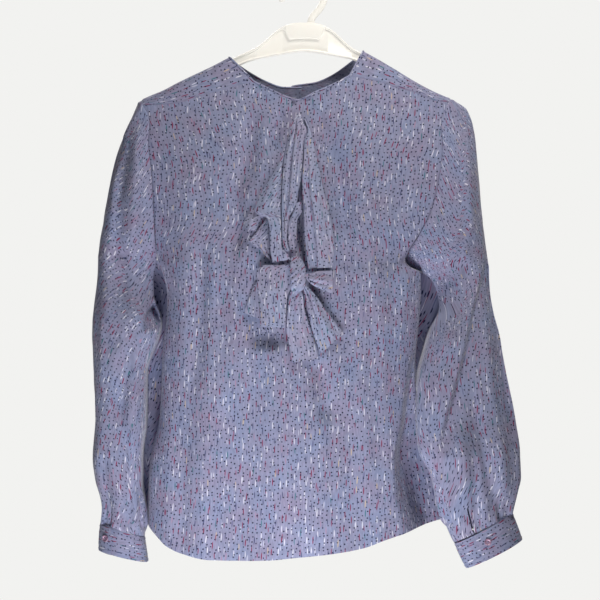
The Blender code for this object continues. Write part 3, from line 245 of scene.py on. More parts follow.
# Depths below zero face the front
CENTRE = table(Depth,
    (-60, -3, 5), (-95, -9, 11), (-125, -14, 17), (-155, -19, 22), (-200, -30, 28), (-260, -41, 33),
    (-330, -48, 37), (-420, -51, 40), (-520, -53, 43), (-620, -57, 47), (-730, -62, 50))
SIDES = table(Side,
    (-150, -9.5, 9.5, -9.5, 9.5), (-165, -11, 11, -11, 11), (-200, -17, 16, -17, 17),
    (-260, -22, 19, -24, 24), (-310, -18, 17, -26, 26), (-340, -9, 10, -18, 22), (-355, -1, -1, -11, 18),
    (-372, -1, -1, 2, 2), (-430, -1, -1, 5, 5), (-520, 0, 0, 12, 12), (-600, 1, 1, 17, 17),
    (-730, 0, 0, 19, 19))

FRONT_FOLDS = table(Fold,
    (-150, -185, -155, -560, 26, 4.0), (-88, -225, -112, -520, 20, -5.0),
    (-60, -300, -84, -700, 18, -3.5), (50, -215, 58, -520, 16, -5.5), (88, -200, 86, -640, 20, 5.5),
    (118, -240, 104, -420, 16, -4.0), (-118, -440, -124, -735, 17, 5.0), (-58, -470, -72, -740, 19, -5.0),
    (4, -470, 20, -735, 26, 5.5), (60, -520, 62, -730, 17, -4.5), (-152, -540, -147, -735, 12, -4.0),
    (-171, -560, -170, -720, 9, 3.0), (-152, -300, -60, -250, 15, -2.5), (140, -300, 66, -250, 14, -2.5))
BACK_FOLDS = table(Fold,
    (-110, -230, -118, -735, 22, 5.0), (-60, -220, -66, -735, 18, -5.0), (-14, -230, -10, -735, 24, 5.0),
    (44, -220, 48, -735, 20, -5.5), (92, -240, 100, -720, 22, 4.5), (134, -330, 140, -700, 16, -4.0),
    (-150, -330, -156, -700, 14, -4.0))

# The front layer folds back along a line below the right underarm
RIGHT_FOLD = table(Step,
    (-376, 149, 0, 7), (-400, 146, 5, 7), (-430, 143.5, 11, 7), (-451, 141, 16, 7), (-487, 132.5, 24, 8),
    (-525, 126, 31, 8), (-567, 120, 36, 9), (-606, 112, 38, 12), (-640, 112, 36, 24), (-690, 118, 32, 44),
    (-740, 120, 32, 50))

# Front armhole side of each sleeve, cap above and tube below
LEFT_CAP = table(Edge,
    (-157, -208), (-176, -216), (-209, -230), (-257, -242.5), (-329, -256), (-352, -259))
RIGHT_CAP = table(Edge,
    (-157, 193), (-166, 206.5), (-189, 215), (-216, 219), (-249, 221.5), (-282, 224), (-325, 229),
    (-365, 235))
LEFT_SLEEVE = table(Sleeve,
    (-355, -184.5, -259, -34, 34), (-376, -189, -262, -37, 35), (-400, -188, -265, -40, 36),
    (-434, -179, -266, -42, 35), (-454, -182, -266, -42, 34), (-474, -190, -265, -42, 33),
    (-495, -197, -264, -42, 31), (-557, -198, -262, -42, 28), (-607, -203, -265, -41, 25),
    (-639, -203, -261, -38, 24), (-662, -200, -252, -35, 24), (-700, -199, -254, -32, 24))
RIGHT_SLEEVE = table(Sleeve,
    (-372, 150, 235, -36, 40), (-380, 161, 236, -38, 40), (-396, 169, 239, -42, 38),
    (-416, 172, 242, -46, 34), (-445, 160, 246, -52, 26), (-467, 153.5, 249, -57, 18),
    (-511, 143, 256, -68, 2), (-559, 140, 265, -76, -12), (-594, 143, 269.5, -80, -19),
    (-625, 158, 270, -80, -21), (-662, 166, 262, -77, -22), (-700, 176, 258, -73, -22))
LEFT_SLEEVE_FOLDS = table(Fold,
    (-205, -185, -212, -330, 9, 6.0), (-222, -215, -232, -290, 8, -6.0),
    (-232, -290, -224, -420, 9, -7.0), (-246, -330, -250, -600, 9, 5.0),
    (-212, -440, -228, -560, 8, -5.0), (-232, -500, -214, -690, 8, -6.0),
    (-250, -600, -241, -660, 6, -5.0))
RIGHT_SLEEVE_FOLDS = table(Fold,
    (206, -200, 212, -330, 10, 6.0), (190, -230, 172, -340, 9, -5.0), (228, -380, 236, -560, 9, 6.0),
    (190, -400, 172, -480, 9, 5.0), (214, -540, 236, -670, 8, -6.0), (240, -560, 250, -655, 8, 5.0),
    (192, -560, 202, -680, 8, 4.5))
LEFT_SLEEVE_STEP = table(Step,
    (-350, -191, 0, 4), (-364, -199, 12, 5), (-385, -193, 26, 5), (-405, -190, 30, 5),
    (-425, -200, 24, 5), (-446, -204, 0, 5))
RIGHT_SLEEVE_STEP = table(Step,
    (-335, 233, 0, 6), (-365, 226, 8, 6), (-429, 207.5, 14, 6), (-480, 195, 16, 6), (-515, 185, 16, 6),
    (-557, 173, 12, 6), (-600, 160, 0, 6))

# Cuffs: the four corners of each band as seen from the front
LEFT_CUFF = Cuff(
    Point(-254.5, -689), Point(-199.5, -706), Point(-256.5, -722.5), Point(-195, -737.5),
    -31, 25, 0.42, 2 * pi + 1.10, "end", 34,
)
RIGHT_CUFF = Cuff(
    Point(187.5, -709), Point(260, -671), Point(202, -740), Point(272.5, -704),
    -73, -21, 1.22, 2 * pi + 1.95, "start", 26,
)
GATHERS = 7
GATHER_HEIGHT = 3.2
GATHER_REACH = 62.0
GATHER_SHARES = [0, 0.3, 0.55, 0.74, 0.86, 0.94, 0.98, 1.0]

# Stretches of the tie, each row from its left edge to its right edge, with
# its height over the front panel at both edges and the rise between them
STRAND_LEFT = table(Strip,
    (-23, -214, -21.4, -214, 0.9, 0.9, 0.1), (-28.5, -231, -24.6, -231, 1.2, 1.6, 0.6),
    (-37.5, -251, -26.4, -251, 2.0, 3.6, 2.0), (-52.5, -276, -27.2, -276, 4.0, 5.0, 3.4),
    (-60, -297, -27.4, -299, 6.5, 5.5, 4.0), (-44, -307, -27.2, -308, 9.5, 7.0, 2.0),
    (-41, -324, -27, -324, 9.8, 8.6, 1.6), (-40.6, -341, -26.6, -341, 9.6, 9.0, 1.2),
    (-39.5, -352, -19.4, -350.5, 9.5, 9.8, 0.8), (-37.5, -361, -15.1, -357.5, 9.6, 9.4, 0.0))
ROLL_LEFT = table(Strip,
    (-62.5, -292.5, -46, -301, 0.8, 1.0, 1.2), (-68, -301.5, -54, -309, 0.9, 1.0, 3.2),
    (-73, -309.5, -57, -317.5, 1.0, 1.0, 4.6), (-74.5, -317.5, -58, -322, 1.0, 1.0, 5.4))
FOLD_LEFT = table(Strip,
    (-53, -316, -43.5, -304, 0.8, 0.8, 0.4), (-61, -327, -43, -322, 0.8, 0.9, 0.6),
    (-66, -334, -42.4, -337, 0.8, 1.2, 0.8), (-53, -345.5, -41.8, -350, 0.9, 1.8, 0.4),
    (-42, -357.5, -38.6, -360.5, 1.2, 1.8, 0.0))
STRAND_CENTRE = table(Strip,
    (-7.5, -175.5, -2.5, -175.5, 0.7, 0.7, 0.2), (-13.8, -185, 0, -185, 0.9, 0.9, 1.6),
    (-16.9, -195, 4.5, -195, 1.2, 1.0, 3.0), (-20, -213.8, 0.5, -213.8, 2.4, 2.0, 4.0),
    (-23.6, -232.5, -0.4, -232.5, 4.6, 2.4, 3.5), (-25.2, -255, -2.4, -255, 6.5, 3.0, 3.0),
    (-26, -276, -6, -276, 8.0, 2.5, 2.5), (-26.2, -291, -9, -291, 8.5, 2.5, 1.8),
    (-25.8, -306, -17.5, -306, 8.5, 3.5, 1.0), (-25.4, -332, -20.2, -332, 7.0, 5.0, 0.4),
    (-22, -347, -16.6, -347, 8.5, 8.0, 0.2))
STRAND_CROSS = table(Strip,
    (-8.2, -286, -1.6, -286, 0.9, 0.9, 0.2), (-11.6, -297.5, -1.4, -297.5, 1.0, 1.2, 0.8),
    (-15.4, -306, -6.6, -306.5, 1.6, 1.6, 1.2), (-18.6, -317.5, -8, -317.5, 2.4, 2.4, 1.6),
    (-18.8, -332.5, -8.6, -332.5, 3.4, 3.2, 1.8), (-16.4, -345, -10.6, -345, 6.0, 5.6, 1.0))
STRAND_RIGHT = table(Strip,
    (1.2, -181, 3.2, -181, 0.7, 0.7, 0.1), (6.0, -195, 9, -195, 0.8, 0.9, 0.4),
    (1.6, -211, 12.8, -211, 1.6, 1.4, 1.6), (0.9, -232.5, 17.5, -232.5, 4.0, 2.0, 2.6),
    (-0.9, -255, 22, -255, 6.0, 2.4, 2.6), (-0.6, -276, 26.5, -276, 6.5, 2.8, 2.4),
    (1.4, -296, 31.4, -296, 6.5, 3.4, 2.4), (1.6, -321, 36.8, -321, 6.0, 4.0, 2.6),
    (3.8, -345, 38.6, -343, 5.6, 5.0, 2.0), (6.4, -368.5, 36.2, -367, 5.0, 7.5, 0.8))
FOLD_RIGHT = table(Strip,
    (3.2, -375.2, 3.4, -381, 7.8, 7.8, 0.2), (10, -374.6, 12.5, -389, 6.2, 6.4, 1.4),
    (18.4, -372, 22.4, -394, 5.0, 5.4, 2.4), (27.4, -371.4, 30, -397.4, 4.2, 4.6, 2.4),
    (36, -371, 36.6, -399.6, 3.4, 3.6, 1.6))
KNOT = table(Strip,
    (-14.4, -353.6, -5, -353.6, 10.8, 8.4, 1.0), (-15.8, -361, 0.6, -361, 11.8, 9.4, 2.6),
    (-15.8, -371, 3.2, -371, 12.4, 9.8, 4.0), (-15.8, -382, 3.2, -382, 12.4, 9.8, 4.2),
    (-15.4, -391, 1.8, -391, 11.6, 9.4, 3.0), (-14, -397, -1.6, -397, 10.4, 8.6, 1.2))
TIP_LEFT = table(Strip,
    (-60, -386, -50, -386, 0.9, 0.9, 0.2), (-64, -397, -50, -399, 0.9, 0.9, 0.6),
    (-69, -411, -48.5, -417, 0.9, 0.9, 1.0), (-73, -423.5, -46, -434, 0.9, 0.9, 1.0))
TAIL_CENTRE = table(Strip,
    (-15.6, -397.3, -1, -397.3, 7.6, 5.8, 1.4), (-17.6, -407, 0.4, -407, 5.6, 4.6, 1.8),
    (-18.8, -420, 2, -420, 4.0, 3.0, 2.0), (-19.8, -434, 6.6, -434, 3.0, 1.6, 1.8),
    (-20, -446, 10.4, -446, 2.6, 0.8, 1.6), (-18, -457.5, 14, -457.5, 2.4, 0.6, 1.6),
    (-15.4, -471, 18.4, -470.5, 2.6, 0.6, 1.6), (-13.8, -485, 18, -480, 2.8, 0.7, 1.4))
TAIL_RIGHT = table(Strip,
    (0.4, -393, 4.6, -389.6, 7.4, 7.6, 0.4), (4.2, -408, 15.4, -401.5, 5.6, 5.6, 1.2),
    (8, -429, 27.5, -419.5, 5.4, 4.2, 2.0), (13.2, -451, 40, -435, 4.6, 3.4, 2.4),
    (21.9, -473.5, 50.9, -449.6, 4.2, 3.2, 2.0))
# The loop is a flattened tube, open below: left, right, back and front lifts
LOOP = table(Strip,
    (-48.5, -364, -13.8, -364, 3.4, 7.0, 0), (-57, -371, -13.1, -371, 2.6, 8.2, 0),
    (-57.6, -388, -13.4, -388, 1.8, 10, 0), (-55.4, -403, -19.4, -403, 1.2, 11.5, 0),
    (-54, -416, -20.6, -416, 0.8, 11.5, 0), (-53.2, -434, -21.4, -433, 0.8, 11.5, 0),
    (-52.8, -440, -22.4, -442, 0.8, 11, 0))

# Hanger arms along X: height and half depth of the flanges
HANGER_ARMS = table(Arm,
    (-196, 6, 2.2), (-192, 9.5, 3.2), (-176, 11.5, 3.4), (-140, 12, 3.6), (-100, 12.5, 3.8),
    (-73, 13.5, 4), (-50, 17, 4), (-26, 20, 4), (-21, 20, 5), (0, 20, 5), (26, 20, 5), (31, 20, 4),
    (50, 17.5, 4), (73, 13.5, 4), (100, 12.5, 3.8), (140, 12, 3.6), (172, 11.5, 3.4), (183, 9.5, 3.2),
    (186, 7, 2.6))

# Shares of the shoulder's height at which the armhole rows lie
YOKE_SHARES_FRONT = [0, 0.08, 0.26, 0.56, 1.0]
YOKE_SHARES_BACK = [0, 0.02, 0.07, 0.15, 0.26, 0.4, 0.58, 0.78, 1.0]

# Sharper folds of the sleeves, at the elbows and above the cuffs
LEFT_SLEEVE_FINE = table(Fold,
    (-196, -215, -200, -330, 7, -3.0), (-236, -250, -243, -340, 6, 2.6),
    (-243, -420, -249, -560, 6, -3.0), (-206, -470, -210, -620, 6, 2.6), (-222, -610, -226, -690, 5, 2.2),
    (-248, -350, -226, -400, 6, -2.6), (-205, -452, -240, -480, 7, 2.4))
RIGHT_SLEEVE_FINE = table(Fold,
    (206, -290, 196, -352, 6, -3.0), (222, -330, 232, -420, 6, -2.6), (216, -470, 226, -600, 6, 2.6),
    (206, -560, 216, -690, 5, -2.6), (252, -520, 262, -640, 6, -2.4), (176, -430, 162, -540, 7, 2.6),
    (196, -330, 216, -372, 6, 2.2))

# The print leans outwards on the upper sleeves, and hangs straighter below
LEFT_GRAIN = table(Lean,
    (0, 40), (180, 38), (300, 24), (430, 14), (600, 8))
RIGHT_GRAIN = table(Lean,
    (0, 40), (150, 34), (220, 4), (300, -16), (400, -4), (600, 3))

FINE_FRONT_FOLDS = table(Fold,
    (-21.6, -163.8, 21.2, -153.2, 2.0, -3.0), (24.6, -160, 24.6, -180, 1.6, -1.2),
    (-24, -168, -40, -222, 9, -8.0), (20, -170, 34, -240, 8, -6.0), (-4, -208, -5, -345, 6, -15),
    (-122, -330, -128, -500, 7, -2.4), (-112, -345, -116, -520, 6, 2.0), (100, -215, 92, -390, 6, -2.2),
    (112, -225, 108, -350, 5, 2.0), (128, -330, 104, -440, 6, -2.6), (138, -352, 118, -470, 5, 2.4),
    (-182, -300, -150, -352, 7, -2.2), (-176, -330, -120, -372, 7, 1.8), (-30, -560, -34, -735, 8, 1.6),
    (32, -500, 40, -720, 8, -1.8), (-140, -600, -142, -735, 6, 1.8), (-62, -172, -76, -266, 13, -10.0),
    (-86, -262, -80, -350, 11, -7.0), (36, -190, 54, -330, 11, -7.5), (-38, -400, -42, -468, 24, -9),
    (18, -480, 30, -560, 13, -8), (-128, -320, -136, -540, 10, -6.5), (-96, -520, -104, -710, 11, -5.0),
    (82, -380, 92, -640, 11, -5.5), (-6, -560, 4, -720, 10, 2.4))


def column(rows: Sequence[NamedTuple], name: str) -> Array:
    """One named column of a table.

    Args:
        rows: The table's rows.
        name: The column's name.

    Returns:
        Its values as an array.
    """
    return np.array([getattr(row, name) for row in rows], float)


def curve(rows: Sequence[NamedTuple], key: str, value: str, at: Array) -> Array:
    """Smooth curve through two columns of a table, with no overshoot.

    Args:
        rows: The table's rows.
        key: Column that runs along the curve.
        value: Column that is read.
        at: Places to read, held within the table.

    Returns:
        The curve's values there.
    """
    xs = column(rows, key)
    ys = column(rows, value)
    order = np.argsort(xs)
    xs = xs[order]
    ys = ys[order]
    at = np.clip(np.asarray(at, float), xs[0], xs[-1])
    step = np.diff(xs)
    slope = np.diff(ys) / step
    same = slope[:-1] * slope[1:] > 0
    inner = np.where(same, 2 * slope[:-1] * slope[1:] / (slope[:-1] + slope[1:] + 1e-12), 0.0)
    tangent = np.concatenate([[slope[0]], inner, [slope[-1]]])
    cell = np.clip(np.searchsorted(xs, at) - 1, 0, len(step) - 1)
    wide = step[cell]
    t = (at - xs[cell]) / wide
    return (
        ys[cell] * (1 + 2 * t) * (1 - t) ** 2
        + tangent[cell] * wide * t * (1 - t) ** 2
        + ys[cell + 1] * t * t * (3 - 2 * t)
        + tangent[cell + 1] * wide * t * t * (t - 1)
    )


def between(start: float | Array, end: float | Array,
            share: float | Array) -> float | Array:
    """Value at a share of the way from start to end."""
    return start + (end - start) * share


def joined(grid: Array, poles: bool = True) -> Array:
    """Shared point numbers of a grid whose last column is its first.

    Args:
        grid: Grid of points.
        poles: Where its first and last rows are one point each.

    Returns:
        One number for each point.
    """
    rows, columns = grid.shape[:2]
    ids = np.arange(rows * columns).reshape(rows, columns)
    ids[:, -1] = ids[:, 0]
    if poles:
        ids[0, :] = ids[0, 0]
        ids[-1, :] = ids[-1, 0]
    return ids


def smooth(low: float, high: float, value: Array) -> Array:
    """Soft step from 0 at low to 1 at high.

    Args:
        low: Value where the step starts.
        high: Value where it ends.
        value: Values to read.

    Returns:
        The step at each value.
    """
    t = np.clip((np.asarray(value, float) - low) / (high - low), 0.0, 1.0)
    return t * t * (3 - 2 * t)


def folds_at(folds: Sequence[Fold], x: Array, z: Array) -> Array:
    """Sum of soft ridges and troughs, each fading towards both its ends.

    Args:
        folds: Table of folds.
        x: Places across.
        z: Heights.

    Returns:
        How far the cloth stands out there.
    """
    total = np.zeros_like(np.asarray(x, float) + np.asarray(z, float))
    for fold in folds:
        along = np.array([fold.x_end - fold.x_top, fold.z_end - fold.z_top], float)
        length = np.hypot(*along)
        along /= length
        run = ((x - fold.x_top) * along[0] + (z - fold.z_top) * along[1]) / length
        side = (x - fold.x_top) * along[1] - (z - fold.z_top) * along[0]
        ends = smooth(-0.08, 0.25, run) * (1 - smooth(0.75, 1.08, run))
        total = total + fold.height * ends * np.exp(-((side / fold.width) ** 2))
    return total


def step_at(steps: Sequence[Step], x: Array, z: Array) -> Array:
    """Depth lost right of a folded edge whose place changes with height.

    Args:
        steps: Table of the edge.
        x: Places across.
        z: Heights.

    Returns:
        How far the cloth steps back there.
    """
    edge = curve(steps, "z", "x", z)
    drop = curve(steps, "z", "drop", z)
    width = curve(steps, "z", "width", z)
    return drop * smooth(0, 1, (x - edge) / width)


def crumple(
    across: Array, along: Array, seed: int, size: float, stretch: float = 2.5
) -> Array:
    """Uneven soft creasing of light cloth, from a few bent waves of one seed.

    Args:
        across: Places across the cloth, in millimetres.
        along: Places along it.
        seed: Seed of the waves.
        size: Usual distance between two creases.
        stretch: How much longer than wide the creases are.

    Returns:
        Heights of about -1 to 1.
    """
    dice = np.random.default_rng(seed)
    total = np.zeros_like(across + along)
    bend = np.sin(along / (size * 4.1) + across / (size * 6.3) + dice.uniform(0, 6))
    for _ in range(7):
        turn = dice.uniform(-0.55, 0.55)
        pace = 2 * pi / (size * dice.uniform(0.75, 1.9))
        way = across * cos(turn) + along / stretch * sin(turn)
        wave = np.sin(way * pace + 1.6 * bend * dice.uniform(0.4, 1.3) + dice.uniform(0, 6.3))
        drift = np.sin(along * 2 * pi / (size * stretch * dice.uniform(2.2, 4.5)) + dice.uniform(0, 6))
        total = total + np.sign(wave) * np.abs(wave) ** 1.5 * (0.55 + 0.45 * drift)
    return total / 3.2


def along_rows(points: Array) -> Array:
    """Distance walked along each row of a grid.

    Args:
        points: Grid of points.

    Returns:
        Distances from each row's first point.
    """
    steps = np.linalg.norm(np.diff(points, axis=1), axis=2)
    return np.concatenate([np.zeros((len(points), 1)), np.cumsum(steps, axis=1)], axis=1)


def down_columns(points: Array) -> Array:
    """Mean distance walked from row to row of a grid.

    Args:
        points: Grid of points.

    Returns:
        One distance for each row.
    """
    steps = np.linalg.norm(np.diff(points, axis=0), axis=2).mean(axis=1)
    return np.concatenate([[0.0], np.cumsum(steps)])


@dataclass
class Sheet:
    """Outer skin of one piece of cloth, as a grid, with its map of the cloth.

    Attributes:
        points: Rows and columns of outer points.
        cloth: Place of each on the flat cloth, across and along, in millimetres.
        ids: Shared point of each place, where a grid closes on itself.
        keep: Which cells are cloth, or None for all.
        flip: True where the grid's faces would point inwards.
    """

    points: Array
    cloth: Array
    ids: Optional[Array] = None
    keep: Optional[Array] = None
    flip: bool = False

    def __post_init__(self) -> None:
        """Number the points."""
        rows, columns = self.points.shape[:2]
        if self.ids is None:
            self.ids = np.arange(rows * columns).reshape(rows, columns)

    def cells(self) -> tuple[Array, Array]:
        """Corners of each cell.

        Returns:
            Shared point numbers, and the grid's own numbers for the map.
        """
        rows, columns = self.ids.shape
        own = np.arange(rows * columns).reshape(rows, columns)
        shown = np.ones((rows - 1, columns - 1), bool) if self.keep is None else self.keep
        both = []
        for numbers in (self.ids, own):
            corners = np.stack(
                [numbers[:-1, :-1], numbers[1:, :-1], numbers[1:, 1:], numbers[:-1, 1:]], axis=-1
            )[shown]
            both.append(corners[:, ::-1] if self.flip else corners)
        return both[0], both[1]

    def normals(self) -> Array:
        """Outward directions at the shared points.

        Returns:
            One unit vector for each of the grid's points.
        """
        flat = self.points.reshape(-1, 3)
        faces = self.cells()[0]
        p = flat[faces]
        face_normals = np.cross(p[:, 2] - p[:, 0], p[:, 3] - p[:, 1])
        total = np.zeros_like(flat)
        for k in range(4):
            np.add.at(total, faces[:, k], face_normals)
        total /= np.maximum(np.linalg.norm(total, axis=1, keepdims=True), 1e-9)
        return total[self.ids]

    def raised(self, amount: Array) -> "Sheet":
        """The sheet with its points moved out along their normals."""
        moved = self.points + self.normals() * np.asarray(amount)[..., None]
        return Sheet(moved, self.cloth, self.ids, self.keep, self.flip)

    def build(
        self, name: str, thickness: float | Array, finishes: Sequence[Material]
    ) -> Object:
        """Make the double skin as a mesh object.

        Args:
            name: Piece name.
            thickness: Distance between the skins, one value or one for each row.
            finishes: Material of the outer skin, and of the inner one if it differs.

        Returns:
            The object, at the origin.
        """
        rows, columns = self.ids.shape
        flat = self.points.reshape(-1, 3)
        normal = self.normals()
        deep = np.broadcast_to(np.asarray(thickness, float).reshape(-1, 1), (rows, columns))
        inner = (self.points - normal * deep[..., None]).reshape(-1, 3)
        count = len(flat)
        faces, own = self.cells()
        directed = np.concatenate([np.stack([faces[:, k], faces[:, (k + 1) % 4]], 1) for k in range(4)])
        own_edges = np.concatenate([np.stack([own[:, k], own[:, (k + 1) % 4]], 1) for k in range(4)])
        real = directed[:, 0] != directed[:, 1]
        code = directed[:, 0] * count + directed[:, 1]
        back = directed[:, 1] * count + directed[:, 0]
        rim = real & ~np.isin(code, back)
        edge = directed[rim]
        edge_own = own_edges[rim]
        rims = np.stack([edge[:, 1], edge[:, 0], edge[:, 0] + count, edge[:, 1] + count], 1)
        rims_own = np.stack([edge_own[:, 1], edge_own[:, 0], edge_own[:, 0], edge_own[:, 1]], 1)
        polygons = np.concatenate([faces, faces[:, ::-1] + count, rims])
        mapped = np.concatenate([own, own[:, ::-1], rims_own])
        skin = np.concatenate([np.zeros(len(faces)), np.ones(len(faces)), np.zeros(len(rims))])
        return mesh_object(
            name, np.concatenate([flat, inner]), polygons,
            self.cloth.reshape(-1, 2), mapped, finishes, skin,
        )

    def build_closed(self, name: str, finishes: Sequence[Material]) -> Object:
        """Make a skin that already closes on itself as a solid piece.

        Args:
            name: Piece name.
            finishes: Its material.

        Returns:
            The object, at the origin.
        """
        faces, own = self.cells()
        flat = self.points.reshape(-1, 3)
        corners = flat[faces]
        volume = np.sum(corners[:, 0] * np.cross(corners[:, 1], corners[:, 2]))
        volume += np.sum(corners[:, 0] * np.cross(corners[:, 2], corners[:, 3]))
        if volume < 0:
            faces, own = faces[:, ::-1], own[:, ::-1]
        return mesh_object(name, flat, faces, self.cloth.reshape(-1, 2), own, finishes)


def mesh_object(
    name: str, points: Array, polygons: Array, places: Array,
    mapped: Array, finishes: Sequence[Material], skin: Optional[Array] = None,
) -> Object:
    """Mesh object with a cloth map, from millimetre points.

    Args:
        name: Piece name.
        points: All points, used or not.
        polygons: Four corners for each face; a repeated corner makes a triangle.
        places: Points of the cloth map, in millimetres.
        mapped: Places that each face's corners have on that map.
        finishes: Materials.
        skin: Material number of each face.

    Returns:
        The linked object.
    """
    used = np.zeros(len(points), bool)
    used[polygons.ravel()] = True
    number = np.cumsum(used) - 1
    faces = []
    corners = []
    for ring, on_map in zip(number[polygons].tolist(), mapped.tolist()):
        kept = [k for k in range(4) if ring[k] != ring[k - 1]]
        faces.append([ring[k] for k in kept])
        corners.extend(on_map[k] for k in kept)
    mesh = bpy.data.meshes.new(name)
    mesh.from_pydata((points[used] * MM).tolist(), [], faces)
    layer = mesh.uv_layers.new(name=CLOTH_MAP)
    layer.data.foreach_set("uv", (places[corners] * MM).astype(np.float32).ravel())
    for finish in finishes:
        mesh.materials.append(finish)
    if skin is not None and len(finishes) > 1:
        mesh.polygons.foreach_set("material_index", skin.astype(np.int32))
    mesh.polygons.foreach_set("use_smooth", np.ones(len(faces), bool))
    mesh.set_sharp_from_angle(angle=radians(62))
    mesh.update()
    made = bpy.data.objects.new(name, mesh)
    bpy.context.scene.collection.objects.link(made)
    return made


def capped(rings: Array) -> Sheet:
    """Skin over open rings, closed at both ends.

    Args:
        rings: Rings of points, none repeated.

    Returns:
        A sheet that closes on itself.
    """
    rings = np.concatenate([rings, rings[:, :1]], axis=1)
    columns = rings.shape[1]
    first, last = (np.repeat(ring[None, :-1].mean(axis=1, keepdims=True), columns, axis=1)
                   for ring in (rings[0], rings[-1]))
    points = np.concatenate([first, rings, last])
    cloth = np.stack(np.broadcast_arrays(along_rows(points), down_columns(points)[:, None]), axis=-1)
    return Sheet(points, cloth, joined(points))


def tube(path: Array, across: Array, out: Array, sides: int = 10) -> Sheet:
    """Skin of a cord or piping that follows a path.

    Args:
        path: Points of its middle.
        across: Half width of the section, as a vector at each point.
        out: Half height of the section, as a vector at each point.
        sides: Faces round it.

    Returns:
        A sheet that closes on itself, pinched shut at both ends.
    """
    turn = 2 * pi * np.arange(sides) / sides
    return capped(
        path[:, None] + across[:, None] * np.cos(turn)[None, :, None]
        + out[:, None] * np.sin(turn)[None, :, None]
    )


def to_linear(code: str) -> tuple[float, float, float, float]:
    """Linear colour of an sRGB hex code.

    Args:
        code: Such as "#8C90B0".

    Returns:
        Red, green, blue and an alpha of 1.
    """
    parts = [int(code[k: k + 2], 16) / 255 for k in (1, 3, 5)]
    linear = [v / 12.92 if v <= 0.04045 else ((v + 0.055) / 1.055) ** 2.4 for v in parts]
    return linear[0], linear[1], linear[2], 1.0


def add(tree: NodeTree, kind: str, settings: Optional[dict] = None,
        inputs: Optional[dict] = None) -> Node:
    """Add a node with its settings, values and links.

    Args:
        tree: Tree that takes the node.
        kind: Node type.
        settings: Values of the node's own properties.
        inputs: Value or linked output for each input, by name or number.

    Returns:
        The node.
    """
    node = tree.nodes.new(kind)
    for key, value in (settings or {}).items():
        setattr(node, key, value)
    for key, value in (inputs or {}).items():
        if isinstance(value, NodeSocket):
            tree.links.new(value, node.inputs[key])
        else:
            node.inputs[key].default_value = value
    return node


class Recipe:
    """What a finish is made from."""

    def make(self, name: str) -> Material:
        """Build the material.

        Args:
            name: Material name.

        Returns:
            The material.
        """
        made = bpy.data.materials.new(name)
        made.use_nodes = True
        made.node_tree.nodes.clear()
        add(made.node_tree, "ShaderNodeOutputMaterial", None, {0: self.shader(made.node_tree)})
        return made

    def shader(self, tree: NodeTree) -> NodeSocket:
        """Nodes of the surface."""
        raise NotImplementedError

    def speckle(self, tree: NodeTree, scale: float, low: float, high: float,
                detail: float = 2.0, distortion: float = 0.0) -> tuple[
                    NodeSocket, NodeSocket]:
        """Soft noise over the piece, and a value that it varies.

        Args:
            tree: Tree of the material.
            scale: Noise cells in a metre.
            low: Value where the noise is 0.
            high: Value where it is 1.
            detail: Octaves of the noise.
            distortion: How much it swirls.

        Returns:
            The noise and the value.
        """
        place = add(tree, "ShaderNodeTexCoord").outputs["Object"]
        noise = add(tree, "ShaderNodeTexNoise", None, {
            "Vector": place, "Scale": scale, "Detail": detail, "Distortion": distortion}).outputs["Fac"]
        value = add(tree, "ShaderNodeMapRange", None, {
            "Value": noise, "To Min": low, "To Max": high}).outputs["Result"]
        return noise, value

    def shaded(self, tree: NodeTree, colour: object,
               shade: NodeSocket) -> NodeSocket:
        """A colour made lighter and darker by a value."""
        return add(tree, "ShaderNodeVectorMath", {"operation": "SCALE"}, {
            0: colour, "Scale": shade}).outputs[0]


class Ink(NamedTuple):
    """A colour of the print, and the share of strokes below which it stands."""

    share: float
    colour: str


class Strokes(NamedTuple):
    """One layer of the print: a mark in each cell of a staggered grid, in millimetres."""

    cell_across: float
    cell_along: float
    half_width: float
    half_length: float
    kept: float
    seed: float
    inks: Sequence[Ink]
    strength: float


# Leaf shaped dashes, a paler one beside some of them, and fine dots
PRINT_LAYERS = [
    Strokes(8.2, 14.0, 0.66, 4.7, 0.86, 3.0, [
        Ink(0.0, "#DEDDE9"), Ink(0.36, "#86234A"), Ink(0.66, "#A98AA6"),
        Ink(0.74, "#3E7584"), Ink(0.81, "#C9B49A"), Ink(0.86, "#4A5075"),
    ], 1.0),
    Strokes(10.2, 16.4, 0.74, 4.0, 0.7, 11.0, [
        Ink(0.0, "#C9CADC"), Ink(0.34, "#5C5F86"), Ink(0.66, "#8C3A60"),
    ], 0.8),
    Strokes(5.6, 5.8, 1.0, 1.0, 0.95, 23.0, [Ink(0.0, "#1B1E40")], 1.0),
]


